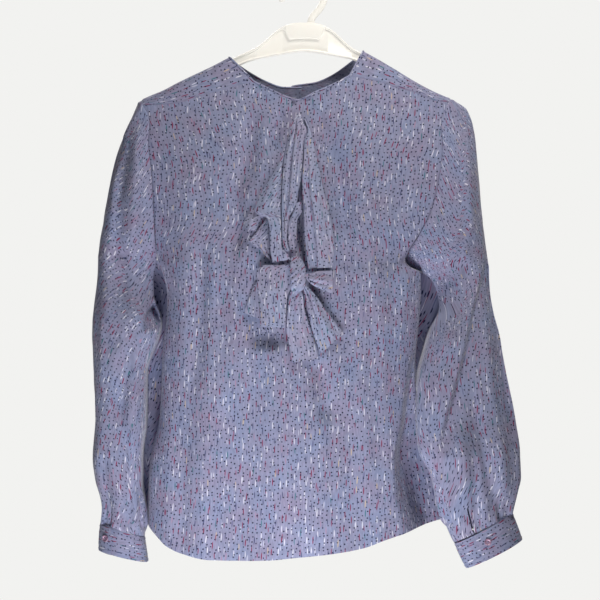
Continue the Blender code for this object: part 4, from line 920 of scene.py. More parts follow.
@dataclass(frozen=True)
class PrintedCrepe(Recipe):
    """Polyester crepe de chine, printed on its face.

    It reads as a matt, dusty cloth with a faint sheen at grazing angles, since
    its twisted yarns scatter light; the print is crisp on the face and a ghost
    on the wrong side.
    """

    ground: str = "#9294B1"
    ground_warm: str = "#938EAA"
    ground_cool: str = "#8B93B3"
    print_strength: float = 1.0
    roughness: float = 0.72
    sheen: float = 0.22
    crepe_mm: float = 1.5  # real pebble is 0.4 mm; drawn coarser so that it shows
    crepe_height_mm: float = 0.09

    def strokes(self, tree: NodeTree, u: NodeSocket,
                v: NodeSocket, layer: Strokes) -> tuple[NodeSocket, NodeSocket]:
        """Mask and colour of one layer of marks.

        Args:
            tree: Tree of the material.
            u: Place across the cloth, in millimetres.
            v: Place along it.
            layer: Sizes and inks.

        Returns:
            The mask and the colour.
        """
        def math(what: str, a: object, b: object = 0.0) -> NodeSocket:
            return add(tree, "ShaderNodeMath", {"operation": what}, {0: a, 1: b}).outputs[0]

        across = math("DIVIDE", u, layer.cell_across)
        column_number = math("FLOOR", across)
        stagger = add(tree, "ShaderNodeTexWhiteNoise", {"noise_dimensions": "1D"},
                      {"W": math("ADD", column_number, layer.seed * 7.31)}).outputs["Value"]
        along = math("ADD", math("DIVIDE", v, layer.cell_along), stagger)
        cell = add(tree, "ShaderNodeCombineXYZ", None, {
            0: column_number, 1: math("FLOOR", along), 2: layer.seed}).outputs[0]
        dice = add(tree, "ShaderNodeTexWhiteNoise", {"noise_dimensions": "3D"}, {"Vector": cell})
        rolls = add(tree, "ShaderNodeSeparateColor", None, {0: dice.outputs["Color"]}).outputs
        room_across = 0.5 - layer.half_width / layer.cell_across
        room_along = 0.5 - layer.half_length / layer.cell_along
        shift_u = math("MULTIPLY", math("SUBTRACT", rolls[0], 0.5), 2 * room_across * 0.92)
        shift_v = math("MULTIPLY", math("SUBTRACT", rolls[1], 0.5), 2 * room_along * 0.92)
        off_v = math("SUBTRACT", math("SUBTRACT", math("FRACT", along), 0.5), shift_v)
        off_u = math("SUBTRACT", math("SUBTRACT", math("FRACT", across), 0.5), shift_u)
        mm_v = math("MULTIPLY", off_v, layer.cell_along)
        lean = math("MULTIPLY", math("SUBTRACT", rolls[2], 0.42), 0.14)
        mm_u = math("ADD", math("MULTIPLY", off_u, layer.cell_across), math("MULTIPLY", mm_v, lean))
        size = math("MULTIPLY_ADD", rolls[2], 0.3)
        tree.nodes[-1].inputs[2].default_value = 0.82
        wide = math("DIVIDE", mm_u, math("MULTIPLY", size, layer.half_width))
        long = math("DIVIDE", mm_v, math("MULTIPLY", size, layer.half_length))
        reach = math("ADD", math("MULTIPLY", wide, wide), math("MULTIPLY", long, long))
        inside = add(tree, "ShaderNodeMapRange", {"interpolation_type": "SMOOTHSTEP"}, {
            "Value": reach, "From Min": 1.25, "From Max": 0.55, "To Min": 0.0, "To Max": 1.0,
        }).outputs["Result"]
        shown = math("LESS_THAN", dice.outputs["Value"], layer.kept)
        mask = math("MULTIPLY", math("MULTIPLY", inside, shown), layer.strength * self.print_strength)
        ramp = add(tree, "ShaderNodeValToRGB", None, {
            0: math("FRACT", math("MULTIPLY", dice.outputs["Value"], 7.13))})
        ramp.color_ramp.interpolation = "CONSTANT"
        points = ramp.color_ramp.elements
        while len(points) > 1:
            points.remove(points[-1])
        for k, ink in enumerate(layer.inks):
            point = points[0] if k == 0 else points.new(ink.share)
            point.position = ink.share
            point.color = to_linear(ink.colour)
        return mask, ramp.outputs["Color"]

    def shader(self, tree: NodeTree) -> NodeSocket:
        """Nodes of the surface."""
        cloth = add(tree, "ShaderNodeUVMap", {"uv_map": CLOTH_MAP}).outputs[0]
        in_mm = add(tree, "ShaderNodeMapping", None, {0: cloth, "Scale": (1000, 1000, 1000)}).outputs[0]
        parts = add(tree, "ShaderNodeSeparateXYZ", None, {0: in_mm}).outputs
        drift = add(tree, "ShaderNodeTexNoise", {"noise_dimensions": "2D"}, {
            "Vector": in_mm, "Scale": 1 / 34.0, "Detail": 3.0, "Roughness": 0.6}).outputs["Fac"]
        tone = add(tree, "ShaderNodeValToRGB", None, {0: drift})
        tone.color_ramp.elements[0].position = 0.33
        tone.color_ramp.elements[0].color = to_linear(self.ground_cool)
        tone.color_ramp.elements[1].position = 0.68
        tone.color_ramp.elements[1].color = to_linear(self.ground_warm)
        middle = tone.color_ramp.elements.new(0.5)
        middle.color = to_linear(self.ground)
        slub = add(tree, "ShaderNodeMapping", None, {0: in_mm, "Scale": (1 / 1.9, 1 / 9.5, 1)}).outputs[0]
        thread = add(tree, "ShaderNodeTexNoise", {"noise_dimensions": "2D"}, {
            "Vector": slub, "Scale": 1.0, "Detail": 2.0, "Roughness": 0.55}).outputs["Fac"]
        light = add(tree, "ShaderNodeMapRange", None, {
            "Value": thread, "From Min": 0.25, "From Max": 0.75, "To Min": 0.84, "To Max": 1.17,
        }).outputs["Result"]
        colour = self.shaded(tree, tone.outputs["Color"], light)
        for layer in PRINT_LAYERS:
            mask, ink = self.strokes(tree, parts[0], parts[1], layer)
            colour = add(tree, "ShaderNodeMix", {"data_type": "RGBA"}, {
                0: mask, 6: colour, 7: ink}).outputs[2]
        pebble = add(tree, "ShaderNodeTexNoise", {"noise_dimensions": "2D"}, {
            "Vector": in_mm, "Scale": 1 / self.crepe_mm, "Detail": 2.0}).outputs["Fac"]
        bump = add(tree, "ShaderNodeBump", None, {
            "Height": pebble, "Strength": 0.55, "Distance": self.crepe_height_mm * MM}).outputs[0]
        return add(tree, "ShaderNodeBsdfPrincipled", None, {
            "Base Color": colour, "Roughness": self.roughness, "Sheen Weight": self.sheen,
            "Sheen Roughness": 0.45, "Specular IOR Level": 0.25, "Normal": bump}).outputs[0]


@dataclass(frozen=True)
class SewingThread(Recipe):
    """Spun polyester thread, dyed to the cloth: matt, with a slightly furry edge."""

    colour: str = "#7478A0"

    def shader(self, tree: NodeTree) -> NodeSocket:
        """Nodes of the surface."""
        _, plies = self.speckle(tree, 2200.0, 0.75, 1.2)
        return add(tree, "ShaderNodeBsdfPrincipled", None, {
            "Base Color": self.shaded(tree, to_linear(self.colour)[:3], plies),
            "Roughness": 0.8, "Sheen Weight": 0.3}).outputs[0]


@dataclass(frozen=True)
class PearlyPolyester(Recipe):
    """Cast polyester button, turned and polished.

    Its pearl pigment lies in soft swirls, and its skin is glossy, so it shows
    a small sharp highlight over a satin mauve.
    """

    deep: str = "#7E5A7C"
    pale: str = "#C9A6BC"
    swirl_mm: float = 3.0

    def shader(self, tree: NodeTree) -> NodeSocket:
        """Nodes of the surface."""
        swirl, rough = self.speckle(tree, 1 / (self.swirl_mm * MM), 0.22, 0.4, 3.0, 1.6)
        tone = add(tree, "ShaderNodeValToRGB", None, {0: swirl})
        tone.color_ramp.elements[0].position = 0.35
        tone.color_ramp.elements[0].color = to_linear(self.deep)
        tone.color_ramp.elements[1].position = 0.65
        tone.color_ramp.elements[1].color = to_linear(self.pale)
        return add(tree, "ShaderNodeBsdfPrincipled", None, {
            "Base Color": tone.outputs["Color"], "Roughness": rough, "Metallic": 0.15,
            "Coat Weight": 0.6, "Coat Roughness": 0.08}).outputs[0]


@dataclass(frozen=True)
class MouldedPolystyrene(Recipe):
    """White injection moulded polystyrene of a shop hanger.

    It is bright and milky, with a satin skin that has flow marks and small scuffs; a faint
    painted glow lifts its shaded edges, standing for light through the plastic and bounced onto it.
    """

    colour: str = "#CFCCC4"
    glow: str = "#F4F1EA"
    glow_strength: float = 0.42
    flow_mm: float = 9.0

    def shader(self, tree: NodeTree) -> NodeSocket:
        """Nodes of the surface."""
        _, flow = self.speckle(tree, 1 / (self.flow_mm * MM), 0.95, 1.03, 4.0)
        _, scuffs = self.speckle(tree, 900.0, 0.28, 0.48)
        return add(tree, "ShaderNodeBsdfPrincipled", None, {
            "Base Color": self.shaded(tree, to_linear(self.colour)[:3], flow), "Roughness": scuffs,
            # Painted glow: emission that lifts the shaded edges, standing for light through and onto the
            # plastic
            "Emission Color": to_linear(self.glow), "Emission Strength": self.glow_strength,
        }).outputs[0]


@dataclass(frozen=True)
class PaintedFloor(Recipe):
    """Pale matt floor paint of a studio, slightly uneven under a roller."""

    colour: str = "#EDECEA"

    def shader(self, tree: NodeTree) -> NodeSocket:
        """Nodes of the surface."""
        _, roller = self.speckle(tree, 6.0, 0.97, 1.03)
        return add(tree, "ShaderNodeBsdfPrincipled", None, {
            "Base Color": self.shaded(tree, to_linear(self.colour)[:3], roller),
            "Roughness": 0.85}).outputs[0]


class Finish(Enum):
    """The finishes of this blouse and its hanger."""

    CLOTH_FACE = "printed_crepe"
    CLOTH_WRONG_SIDE = "printed_crepe_wrong_side"
    CLOTH_PAINTED_LIGHTER = "printed_crepe_doubled"
    THREAD = "polyester_thread"
    BUTTON = "pearly_polyester"
    HANGER = "moulded_polystyrene"
    FLOOR = "painted_floor"


@dataclass
class Wardrobe:
    """Makes each finish once and hands it out.

    Attributes:
        recipes: What makes each finish.
        made: Materials made so far.
    """

    recipes: dict = field(default_factory=lambda: {
        Finish.CLOTH_FACE: PrintedCrepe(),
        # Wrong side: its faint ghost print is the cloth's own; its ground is painted a little darker, as
        # painted shade for the blouse's inside
        Finish.CLOTH_WRONG_SIDE: PrintedCrepe(
            "#898CA8", "#8A87A2", "#838AA8", print_strength=0.45, sheen=0.12),
        # The tie's crepe: a lit copy whose ground is painted paler, as painted light on the raised tie
        Finish.CLOTH_PAINTED_LIGHTER: PrintedCrepe("#A0A2BE", "#A19DB8", "#99A1BF"),
        Finish.THREAD: SewingThread(),
        Finish.BUTTON: PearlyPolyester(),
        Finish.HANGER: MouldedPolystyrene(),
        Finish.FLOOR: PaintedFloor(),
    })
    made: dict = field(default_factory=dict)

    def get(self, finish: Finish) -> Material:
        """Material of a finish.

        Args:
            finish: Which finish.

        Returns:
            The material, made at its first use.
        """
        if finish not in self.made:
            self.made[finish] = self.recipes[finish].make(finish.value)
        return self.made[finish]

    def cloth(self) -> list:
        """Face and wrong side of the printed cloth."""
        return [self.get(Finish.CLOTH_FACE), self.get(Finish.CLOTH_WRONG_SIDE)]

    def doubled(self) -> list:
        """Cloth of the tie: the same crepe with its ground painted paler, standing for the extra light that
        the raised tie catches.
        """
        return [self.get(Finish.CLOTH_PAINTED_LIGHTER)]


def bend(values: Sequence[float], factor: int) -> Array:
    """Smooth curve through evenly spaced values, read at finer steps.

    Args:
        values: Coarse values.
        factor: How many steps each one is cut into.

    Returns:
        The finer values.
    """
    marks = [Edge(k, v) for k, v in enumerate(values)]
    return curve(marks, "z", "x", np.linspace(0, len(values) - 1, (len(values) - 1) * factor + 1))


def panel_map(points: Array) -> Array:
    """Places on the flat cloth of a panel that hangs down.

    Args:
        points: Grid of the panel, with rows from left to right.

    Returns:
        Distance across from the middle and distance down, in millimetres.
    """
    step = np.hypot(np.diff(points[..., 0], axis=1), np.diff(points[..., 1], axis=1))
    run = np.concatenate([np.zeros((len(points), 1)), np.cumsum(step, axis=1)], axis=1)
    middle = [np.interp(0.0, row[:, 0], far) for row, far in zip(points, run)]
    return np.stack([run - np.array(middle)[:, None], -points[..., 2]], axis=-1)


def seam_dip(points: Array, top: bool = False, low: bool = False,
             left: bool = False, right: bool = False) -> Array:
    """Cloth drawn in at a seam and standing up beside it.

    Args:
        points: Grid of the piece.
        top: Its first row is seamed.
        low: Its last row is seamed.
        left: Its first column is seamed.
        right: Its last column is seamed.

    Returns:
        How far each point moves out, in millimetres.
    """
    across = along_rows(points)
    down = np.swapaxes(along_rows(np.swapaxes(points, 0, 1)), 0, 1)
    near = np.full(points.shape[:2], 99.0)
    if top:
        near = np.minimum(near, down)
    if low:
        near = np.minimum(near, down[-1:] - down)
    if left:
        near = np.minimum(near, across)
    if right:
        near = np.minimum(near, across[:, -1:] - across)
    return 0.5 * np.exp(-(((near - 3.0) / 1.9) ** 2)) - 0.55 * np.exp(-((near / 1.3) ** 2))


@dataclass
class BodyForm:
    """Outer form of the body, which the panels, the yokes and the tie follow.

    Attributes:
        seam_roll: Height over which cloth rolls over the shoulder.
        crumple_mm: Height of the soft creases between the folds.
    """

    seam_roll: float = 11.0
    crumple_mm: float = 1.0

    def ridge(self, x: Array) -> Array:
        """Height of the shoulder line."""
        return curve(RIDGE, "x", "z", x)

    def creases(self, x: Array, z: Array, front: bool) -> Array:
        """Fine folds and crumples that the solids leave out.

        Args:
            x: Places across.
            z: Heights.
            front: Front or back.

        Returns:
            How far they stand out.
        """
        if not front:
            return self.crumple_mm * 1.2 * crumple(x, z, 8, 34)
        behind = smooth(-165, -190, z) * (1 - smooth(-480, -520, z)) * (1 - smooth(50, 85, np.abs(x + 5)))
        soft = crumple(x, z, 5, 36) + 0.42 * crumple(x, z, 6, 15, 2.0)
        return folds_at(FINE_FRONT_FOLDS, x, z) + self.crumple_mm * soft * (1 - 0.7 * behind) - 0.4 * behind

    def depth(self, x: Array, z: Array, front: bool, fine: bool) -> Array:
        """Depth of the outer surface.

        Args:
            x: Places across.
            z: Heights.
            front: Front or back.
            fine: With the fine folds too.

        Returns:
            Depths, below zero at the front.
        """
        left = curve(LEFT_EDGE, "z", "x", z)
        right = curve(RIGHT_EDGE, "z", "x", z)
        across = np.clip((x - (left + right) / 2) / ((right - left) / 2), -1, 1)
        word = "front" if front else "back"
        centre = curve(CENTRE, "z", word, z)
        left_side = curve(SIDES, "z", "left_" + word, z)
        right_side = curve(SIDES, "z", "right_" + word, z)
        side = between(left_side, right_side, smooth(-1, 1, across))
        power = 1.0 + (1 / 2.6 - 1.0) * smooth(-300, -385, z)
        body = np.clip(1 - np.abs(across) ** 2.6, 0, 1) ** power
        depth = between(side, centre, body)
        below = self.ridge(x) - z
        roll = np.sqrt(np.clip(1 - (1 - np.clip(below / self.seam_roll, 0, 1)) ** 2, 0, 1))
        fade = smooth(8, 60, below) * (1 - np.abs(across) ** 6)
        out = -1.0 if front else 1.0
        depth = depth + out * folds_at(FRONT_FOLDS if front else BACK_FOLDS, x, z) * fade
        if fine:
            depth = depth + out * self.creases(x, z, front) * smooth(4, 30, below) * (1 - np.abs(across) ** 8)
        if front:
            depth = depth + step_at(RIGHT_FOLD, x, z) * (1 - np.abs(across) ** 10)
        return depth * roll

    def surface(self, x: Array, z: Array, front: bool, fine: bool = True) -> Array:
        """Points of the outer surface.

        Args:
            x: Places across.
            z: Heights.
            front: Front or back.
            fine: With the fine folds too.

        Returns:
            The points.
        """
        x, z = np.broadcast_arrays(np.asarray(x, float), np.asarray(z, float))
        return np.stack([x, self.depth(x, z, front, fine), z], axis=-1)

    def armhole(self, left: bool) -> tuple[Array, Array]:
        """Armhole from the shoulder to the underarm.

        Args:
            left: Armhole on the left in the front view.

        Returns:
            Its front and its back points.
        """
        edges = LEFT_EDGE if left else RIGHT_EDGE
        top = edges[0]
        seam_z = (LEFT_YOKE_SEAM[0] if left else RIGHT_YOKE_SEAM[-1]).z
        under_z = LEFT_UNDERARM_Z if left else RIGHT_UNDERARM_Z
        result = []
        for front in (True, False):
            meet = seam_z if front else BACK_SEAM_Z
            shares = YOKE_SHARES_FRONT if front else YOKE_SHARES_BACK
            lower = (ARMHOLE_ROWS - len(shares) + 1) * FINE_ROWS
            heights = np.concatenate([
                top.z + (meet - top.z) * bend(shares, FINE_ROWS),
                meet + (under_z - meet) * np.linspace(0, 1, lower + 1)[1:],
            ])
            x = curve(edges, "z", "x", heights)
            points = self.surface(x, np.minimum(heights, self.ridge(x)), front)
            points[0, 1] = 0.0
            result.append(points)
        result[1][0] = result[0][0]
        result[1][-1] = result[0][-1]
        return result[0], result[1]


@dataclass
class Panels:
    """Front, back and yokes of the body, and the binding round its neck.

    Attributes:
        form: Form that they follow.
        cloth_mm: Thickness of the cloth with its crepe.
        hem_mm: Depth of the turned hem.
        sheets: Skins made so far, by piece name.
    """

    form: BodyForm
    cloth_mm: float = 0.55
    hem_mm: float = 11.0
    sheets: dict = field(default_factory=dict)

    def front(self) -> Sheet:
        """Front panel, from the yoke seams and the neck to the hem."""
        part = np.linspace(0, 1, YOKE_COLUMNS * FINE_COLUMNS + 1)
        left_x = between(LEFT_YOKE_SEAM[0].x, LEFT_YOKE_SEAM[-1].x, part)
        right_x = between(RIGHT_YOKE_SEAM[0].x, RIGHT_YOKE_SEAM[-1].x, part)
        neck_x = np.linspace(left_x[-1], right_x[0], NECK_COLUMNS * FINE_COLUMNS + 1)[1:-1]
        top_x = np.concatenate([left_x, neck_x, right_x])
        top_z = np.concatenate([
            curve(LEFT_YOKE_SEAM, "x", "z", left_x), curve(FRONT_NECK, "x", "z", neck_x),
            curve(RIGHT_YOKE_SEAM, "x", "z", right_x),
        ])
        level = np.linspace(0, 1, len(top_x))
        round_side = (1 - np.cos(pi * level)) / 2
        even = 0.35 * round_side + 0.65 * level
        start = (top_x - top_x[0]) / (top_x[-1] - top_x[0])
        left_arm = self.form.armhole(True)[0][FRONT_YOKE_ROWS * FINE_ROWS:]
        right_arm = self.form.armhole(False)[0][FRONT_YOKE_ROWS * FINE_ROWS:]
        return self.panel(top_x, top_z, start, even, round_side, left_arm, right_arm, True)

    def back(self) -> Sheet:
        """Back panel, from the yoke seam to the hem."""
        left_arm = self.form.armhole(True)[1][BACK_YOKE_ROWS * FINE_ROWS:]
        right_arm = self.form.armhole(False)[1][BACK_YOKE_ROWS * FINE_ROWS:]
        half = np.linspace(0, 1, YOKE_COLUMNS * FINE_COLUMNS + 1)
        middle = BACK_NECK_LEFT[-1].x
        top_x = np.concatenate([
            between(left_arm[0, 0], middle, half),
            between(middle, right_arm[0, 0], half)[1:],
        ])
        level = np.linspace(0, 1, len(top_x))
        round_side = 0.75 * (1 - np.cos(pi * level)) / 2 + 0.25 * level
        start = (top_x - top_x[0]) / (top_x[-1] - top_x[0])
        top_z = np.full_like(top_x, BACK_SEAM_Z)
        return self.panel(top_x, top_z, start, level, round_side, left_arm, right_arm, False)

    def panel(
        self, top_x: Array, top_z: Array, start: Array, even: Array,
        round_side: Array, left_arm: Array, right_arm: Array, front: bool,
    ) -> Sheet:
        """Grid of a panel between its top edge, its armholes and its hem.

        Args:
            top_x: Places of the top edge.
            top_z: Heights of the top edge.
            start: Spacing of the columns at the top.
            even: Spacing of the columns at the underarm.
            round_side: Spacing of the columns at the hem.
            left_arm: Armhole points on the left.
            right_arm: Armhole points on the right.
            front: Front or back panel.

        Returns:
            The panel's skin.
        """
        lower = LOWER_ROWS * FINE_LOWER
        arm_rows = len(left_arm)
        under = between(LEFT_UNDERARM_Z, RIGHT_UNDERARM_Z, even)
        rows = []
        for row in range(arm_rows + lower):
            if row < arm_rows:
                share = row / (arm_rows - 1)
                z = between(top_z, under, share)
                z[0], z[-1] = left_arm[row, 2], right_arm[row, 2]
                place = start + (even - start) * (smooth(0, 1, share) if front else share)
            else:
                share = (row - arm_rows + 1) / lower
                place = between(even, round_side, smooth(0, 0.4, share))
                hem_x = between(HEM[0].x, HEM[-1].x, place)
                z = under + (curve(HEM, "x", "z", hem_x) - under) * share
            left = curve(LEFT_EDGE, "z", "x", z)
            right = curve(RIGHT_EDGE, "z", "x", z)
            x = top_x if row == 0 and front else left + (right - left) * place
            points = self.form.surface(x, z, front)
            if row < arm_rows:
                points[0], points[-1] = left_arm[row], right_arm[row]
            elif not front:
                sides = self.sheets["front"].points[row - arm_rows - lower]
                points[0], points[-1] = sides[0], sides[-1]
            rows.append(points)
        grid = np.array(rows)
        cloth = panel_map(grid) + np.array([0.0, 0.0 if front else 311.0])
        skin = Sheet(grid, cloth, flip=not front)
        return skin.raised(seam_dip(grid, top=not front, left=True, right=True))

    def yoke(self, left: bool) -> Sheet:
        """Half of the yoke: front seam, over the shoulder, down the back.

        Args:
            left: Half on the left in the front view.

        Returns:
            The half's skin.
        """
        seam = LEFT_YOKE_SEAM if left else RIGHT_YOKE_SEAM[::-1]
        neck_x = NECK_POINT_LEFT if left else NECK_POINT_RIGHT
        neck_path = BACK_NECK_LEFT if left else BACK_NECK_RIGHT
        front_arm, back_arm = self.form.armhole(left)
        part = np.linspace(0, 1, YOKE_COLUMNS * FINE_COLUMNS + 1)
        seam_x = between(seam[0].x, seam[-1].x, part)
        seam_z = curve(seam, "x", "z", seam_x)
        ridge_x = between(front_arm[0, 0], neck_x, part)
        rows = []
        for share in bend(YOKE_SHARES_FRONT, FINE_ROWS)[::-1]:
            x = between(ridge_x, seam_x, share)
            below = (self.form.ridge(seam_x) - seam_z) * share
            rows.append(self.form.surface(x, self.form.ridge(x) - below, True))
        ends_x, ends_z = self.back_edge(left, neck_path)
        last = BACK_YOKE_ROWS * FINE_ROWS
        for row in range(1, last + 1):
            arm = back_arm[row]
            x = between(arm[0], ends_x[row], part)
            below_arm = self.form.ridge(arm[0]) - arm[2]
            below_end = self.form.ridge(ends_x[row]) - ends_z[row]
            along = self.form.ridge(x) - between(below_arm, below_end, part)
            straight = between(arm[2], ends_z[row], part)
            z = between(along, straight, smooth(1, 4, row / FINE_ROWS))
            if row == last:
                z = np.full_like(x, BACK_SEAM_Z)
            points = self.form.surface(x, z, False)
            if left:
                near = smooth(-60, -22, x) * (1 - smooth(-192, -212, z))
                points[:, 1] -= SLIT_STEP * near
            rows.append(points)
        grid = np.array(rows)
        over = FRONT_YOKE_ROWS * FINE_ROWS
        grid[: over + 1, 0] = front_arm[over::-1]
        grid[over + 1:, 0] = back_arm[1: last + 1]
        cloth = np.stack(np.broadcast_arrays(down_columns(grid)[:, None] + 60, along_rows(grid)), axis=-1)
        skin = Sheet(grid, cloth, flip=left)
        return skin.raised(seam_dip(grid, top=True, low=True, left=True))

    def back_edge(self, left: bool, neck_path: Sequence[Point]) -> tuple[Array, Array]:
        """Edge of a yoke half along the back neck and down the slit.

        Args:
            left: Half on the left in the front view.
            neck_path: Line of the back neck.

        Returns:
            Its places and its heights.
        """
        ends_x = [neck_path[0].x + (neck_path[-1].x - neck_path[0].x) * share for share in NECK_SHARES]
        ends_z = list(curve(neck_path, "x", "z", np.array(ends_x)))
        overlap = 0.0 if left else SLIT_OVERLAP
        slit = np.linspace(0, 1, BACK_YOKE_ROWS - len(NECK_SHARES) + 2)[1:]
        ends_x[-1] -= overlap
        corner = ends_z[-1]
        ends_x += list(neck_path[-1].x - overlap * (1 - smooth(0.15, 0.62, slit)))
        ends_z += list(corner + (BACK_SEAM_Z - corner) * slit)
        return bend(ends_x, FINE_ROWS), bend(ends_z, FINE_ROWS)

    def binding(self) -> Sheet:
        """Narrow piping round the neck, laid on the panels' own edge."""
        back_end = (FRONT_YOKE_ROWS + len(NECK_SHARES) - 1) * FINE_ROWS
        edge = YOKE_COLUMNS * FINE_COLUMNS
        across = NECK_COLUMNS * FINE_COLUMNS
        path = []
        for name, take in (
            ("yoke_left", lambda g: g[back_end::-1, -1]),
            ("front", lambda g: g[0, edge + 1: edge + across]),
            ("yoke_right", lambda g: g[: back_end + 1, -1]),
        ):
            sheet = self.sheets[name]
            path.append(np.concatenate([take(sheet.points), take(sheet.normals())], axis=1))
        path = np.concatenate(path)
        line = np.gradient(path[:, :3], axis=0)
        line /= np.linalg.norm(line, axis=1, keepdims=True)
        out = path[:, 3:]
        way = np.cross(out, line)
        way /= np.linalg.norm(way, axis=1, keepdims=True)
        if way[len(way) // 2, 2] < 0:
            way = -way
        middle = path[:, :3] + way * 1.25 + out * 0.05
        return tube(middle, way * 1.35, np.cross(line, way) * 0.95)

    def build(self, wardrobe: Wardrobe) -> list:
        """Make the pieces.

        Args:
            wardrobe: Finishes.

        Returns:
            The objects.
        """
        self.sheets["front"] = self.front()
        self.sheets["back"] = self.back()
        self.sheets["yoke_left"] = self.yoke(True)
        self.sheets["yoke_right"] = self.yoke(False)
        made = []
        for name, flat in (
            ("yoke_left", (0.20, 0.13)), ("yoke_right", (0.21, 0.13)),
            ("back", (0.44, 0.54)), ("front", (0.44, 0.62)),
        ):
            skin = self.sheets[name]
            thick = np.full(len(skin.points), self.cloth_mm)
            if name in ("front", "back"):
                rise = down_columns(skin.points[::-1])[::-1]
                turned = 1 - smooth(self.hem_mm - 1.5, self.hem_mm, rise)
                skin = skin.raised(0.35 * turned[:, None] * np.ones(skin.points.shape[:2]))
                thick = thick + 0.75 * turned
            piece = skin.build("cloth_" + name, thick, wardrobe.cloth())
            made.append(dress(piece, "cloth", name))
            trim = []
            if name == "front":
                trim = [self.binding().build_closed("neck_piping", wardrobe.cloth()[:1])]
                made.append(dress(trim[0], "cloth", "neck_binding"))
            self.sheets[name] = skin
        return made


def dress(piece: Object, slot: str, *nodes: str) -> Object:
    """Ride a finished piece on the body and hide the solids that it replaces.

    Args:
        piece: The piece.
        slot: Not used.
        nodes: Solids that it replaces.

    Returns:
        The piece.
    """
    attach(piece, BODY)
    if nodes:
        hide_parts(*nodes)
    log.info("%s: %d faces", piece.name, len(piece.data.polygons))
    return piece


def cuff_ring(cuff: Cuff, angle: Array, low: float) -> Array:
    """Points round a cuff at one height.

    Args:
        cuff: The cuff.
        angle: Directions round it.
        low: 0 at its top edge and 1 at its bottom.

    Returns:
        The points.
    """
    left, right = (
        [between(top, bottom, low) for top, bottom in zip(*corners)]
        for corners in ((cuff.top_left, cuff.bottom_left), (cuff.top_right, cuff.bottom_right))
    )
    across = (1 - np.cos(angle)) / 2
    swell = np.sign(np.sin(angle)) * np.abs(np.sin(angle)) ** 0.85
    y = (cuff.front + cuff.back) / 2 - (cuff.back - cuff.front) / 2 * swell
    x, z = (between(first, last, across) for first, last in zip(left, right))
    return np.stack(np.broadcast_arrays(x, y, z), axis=-1)


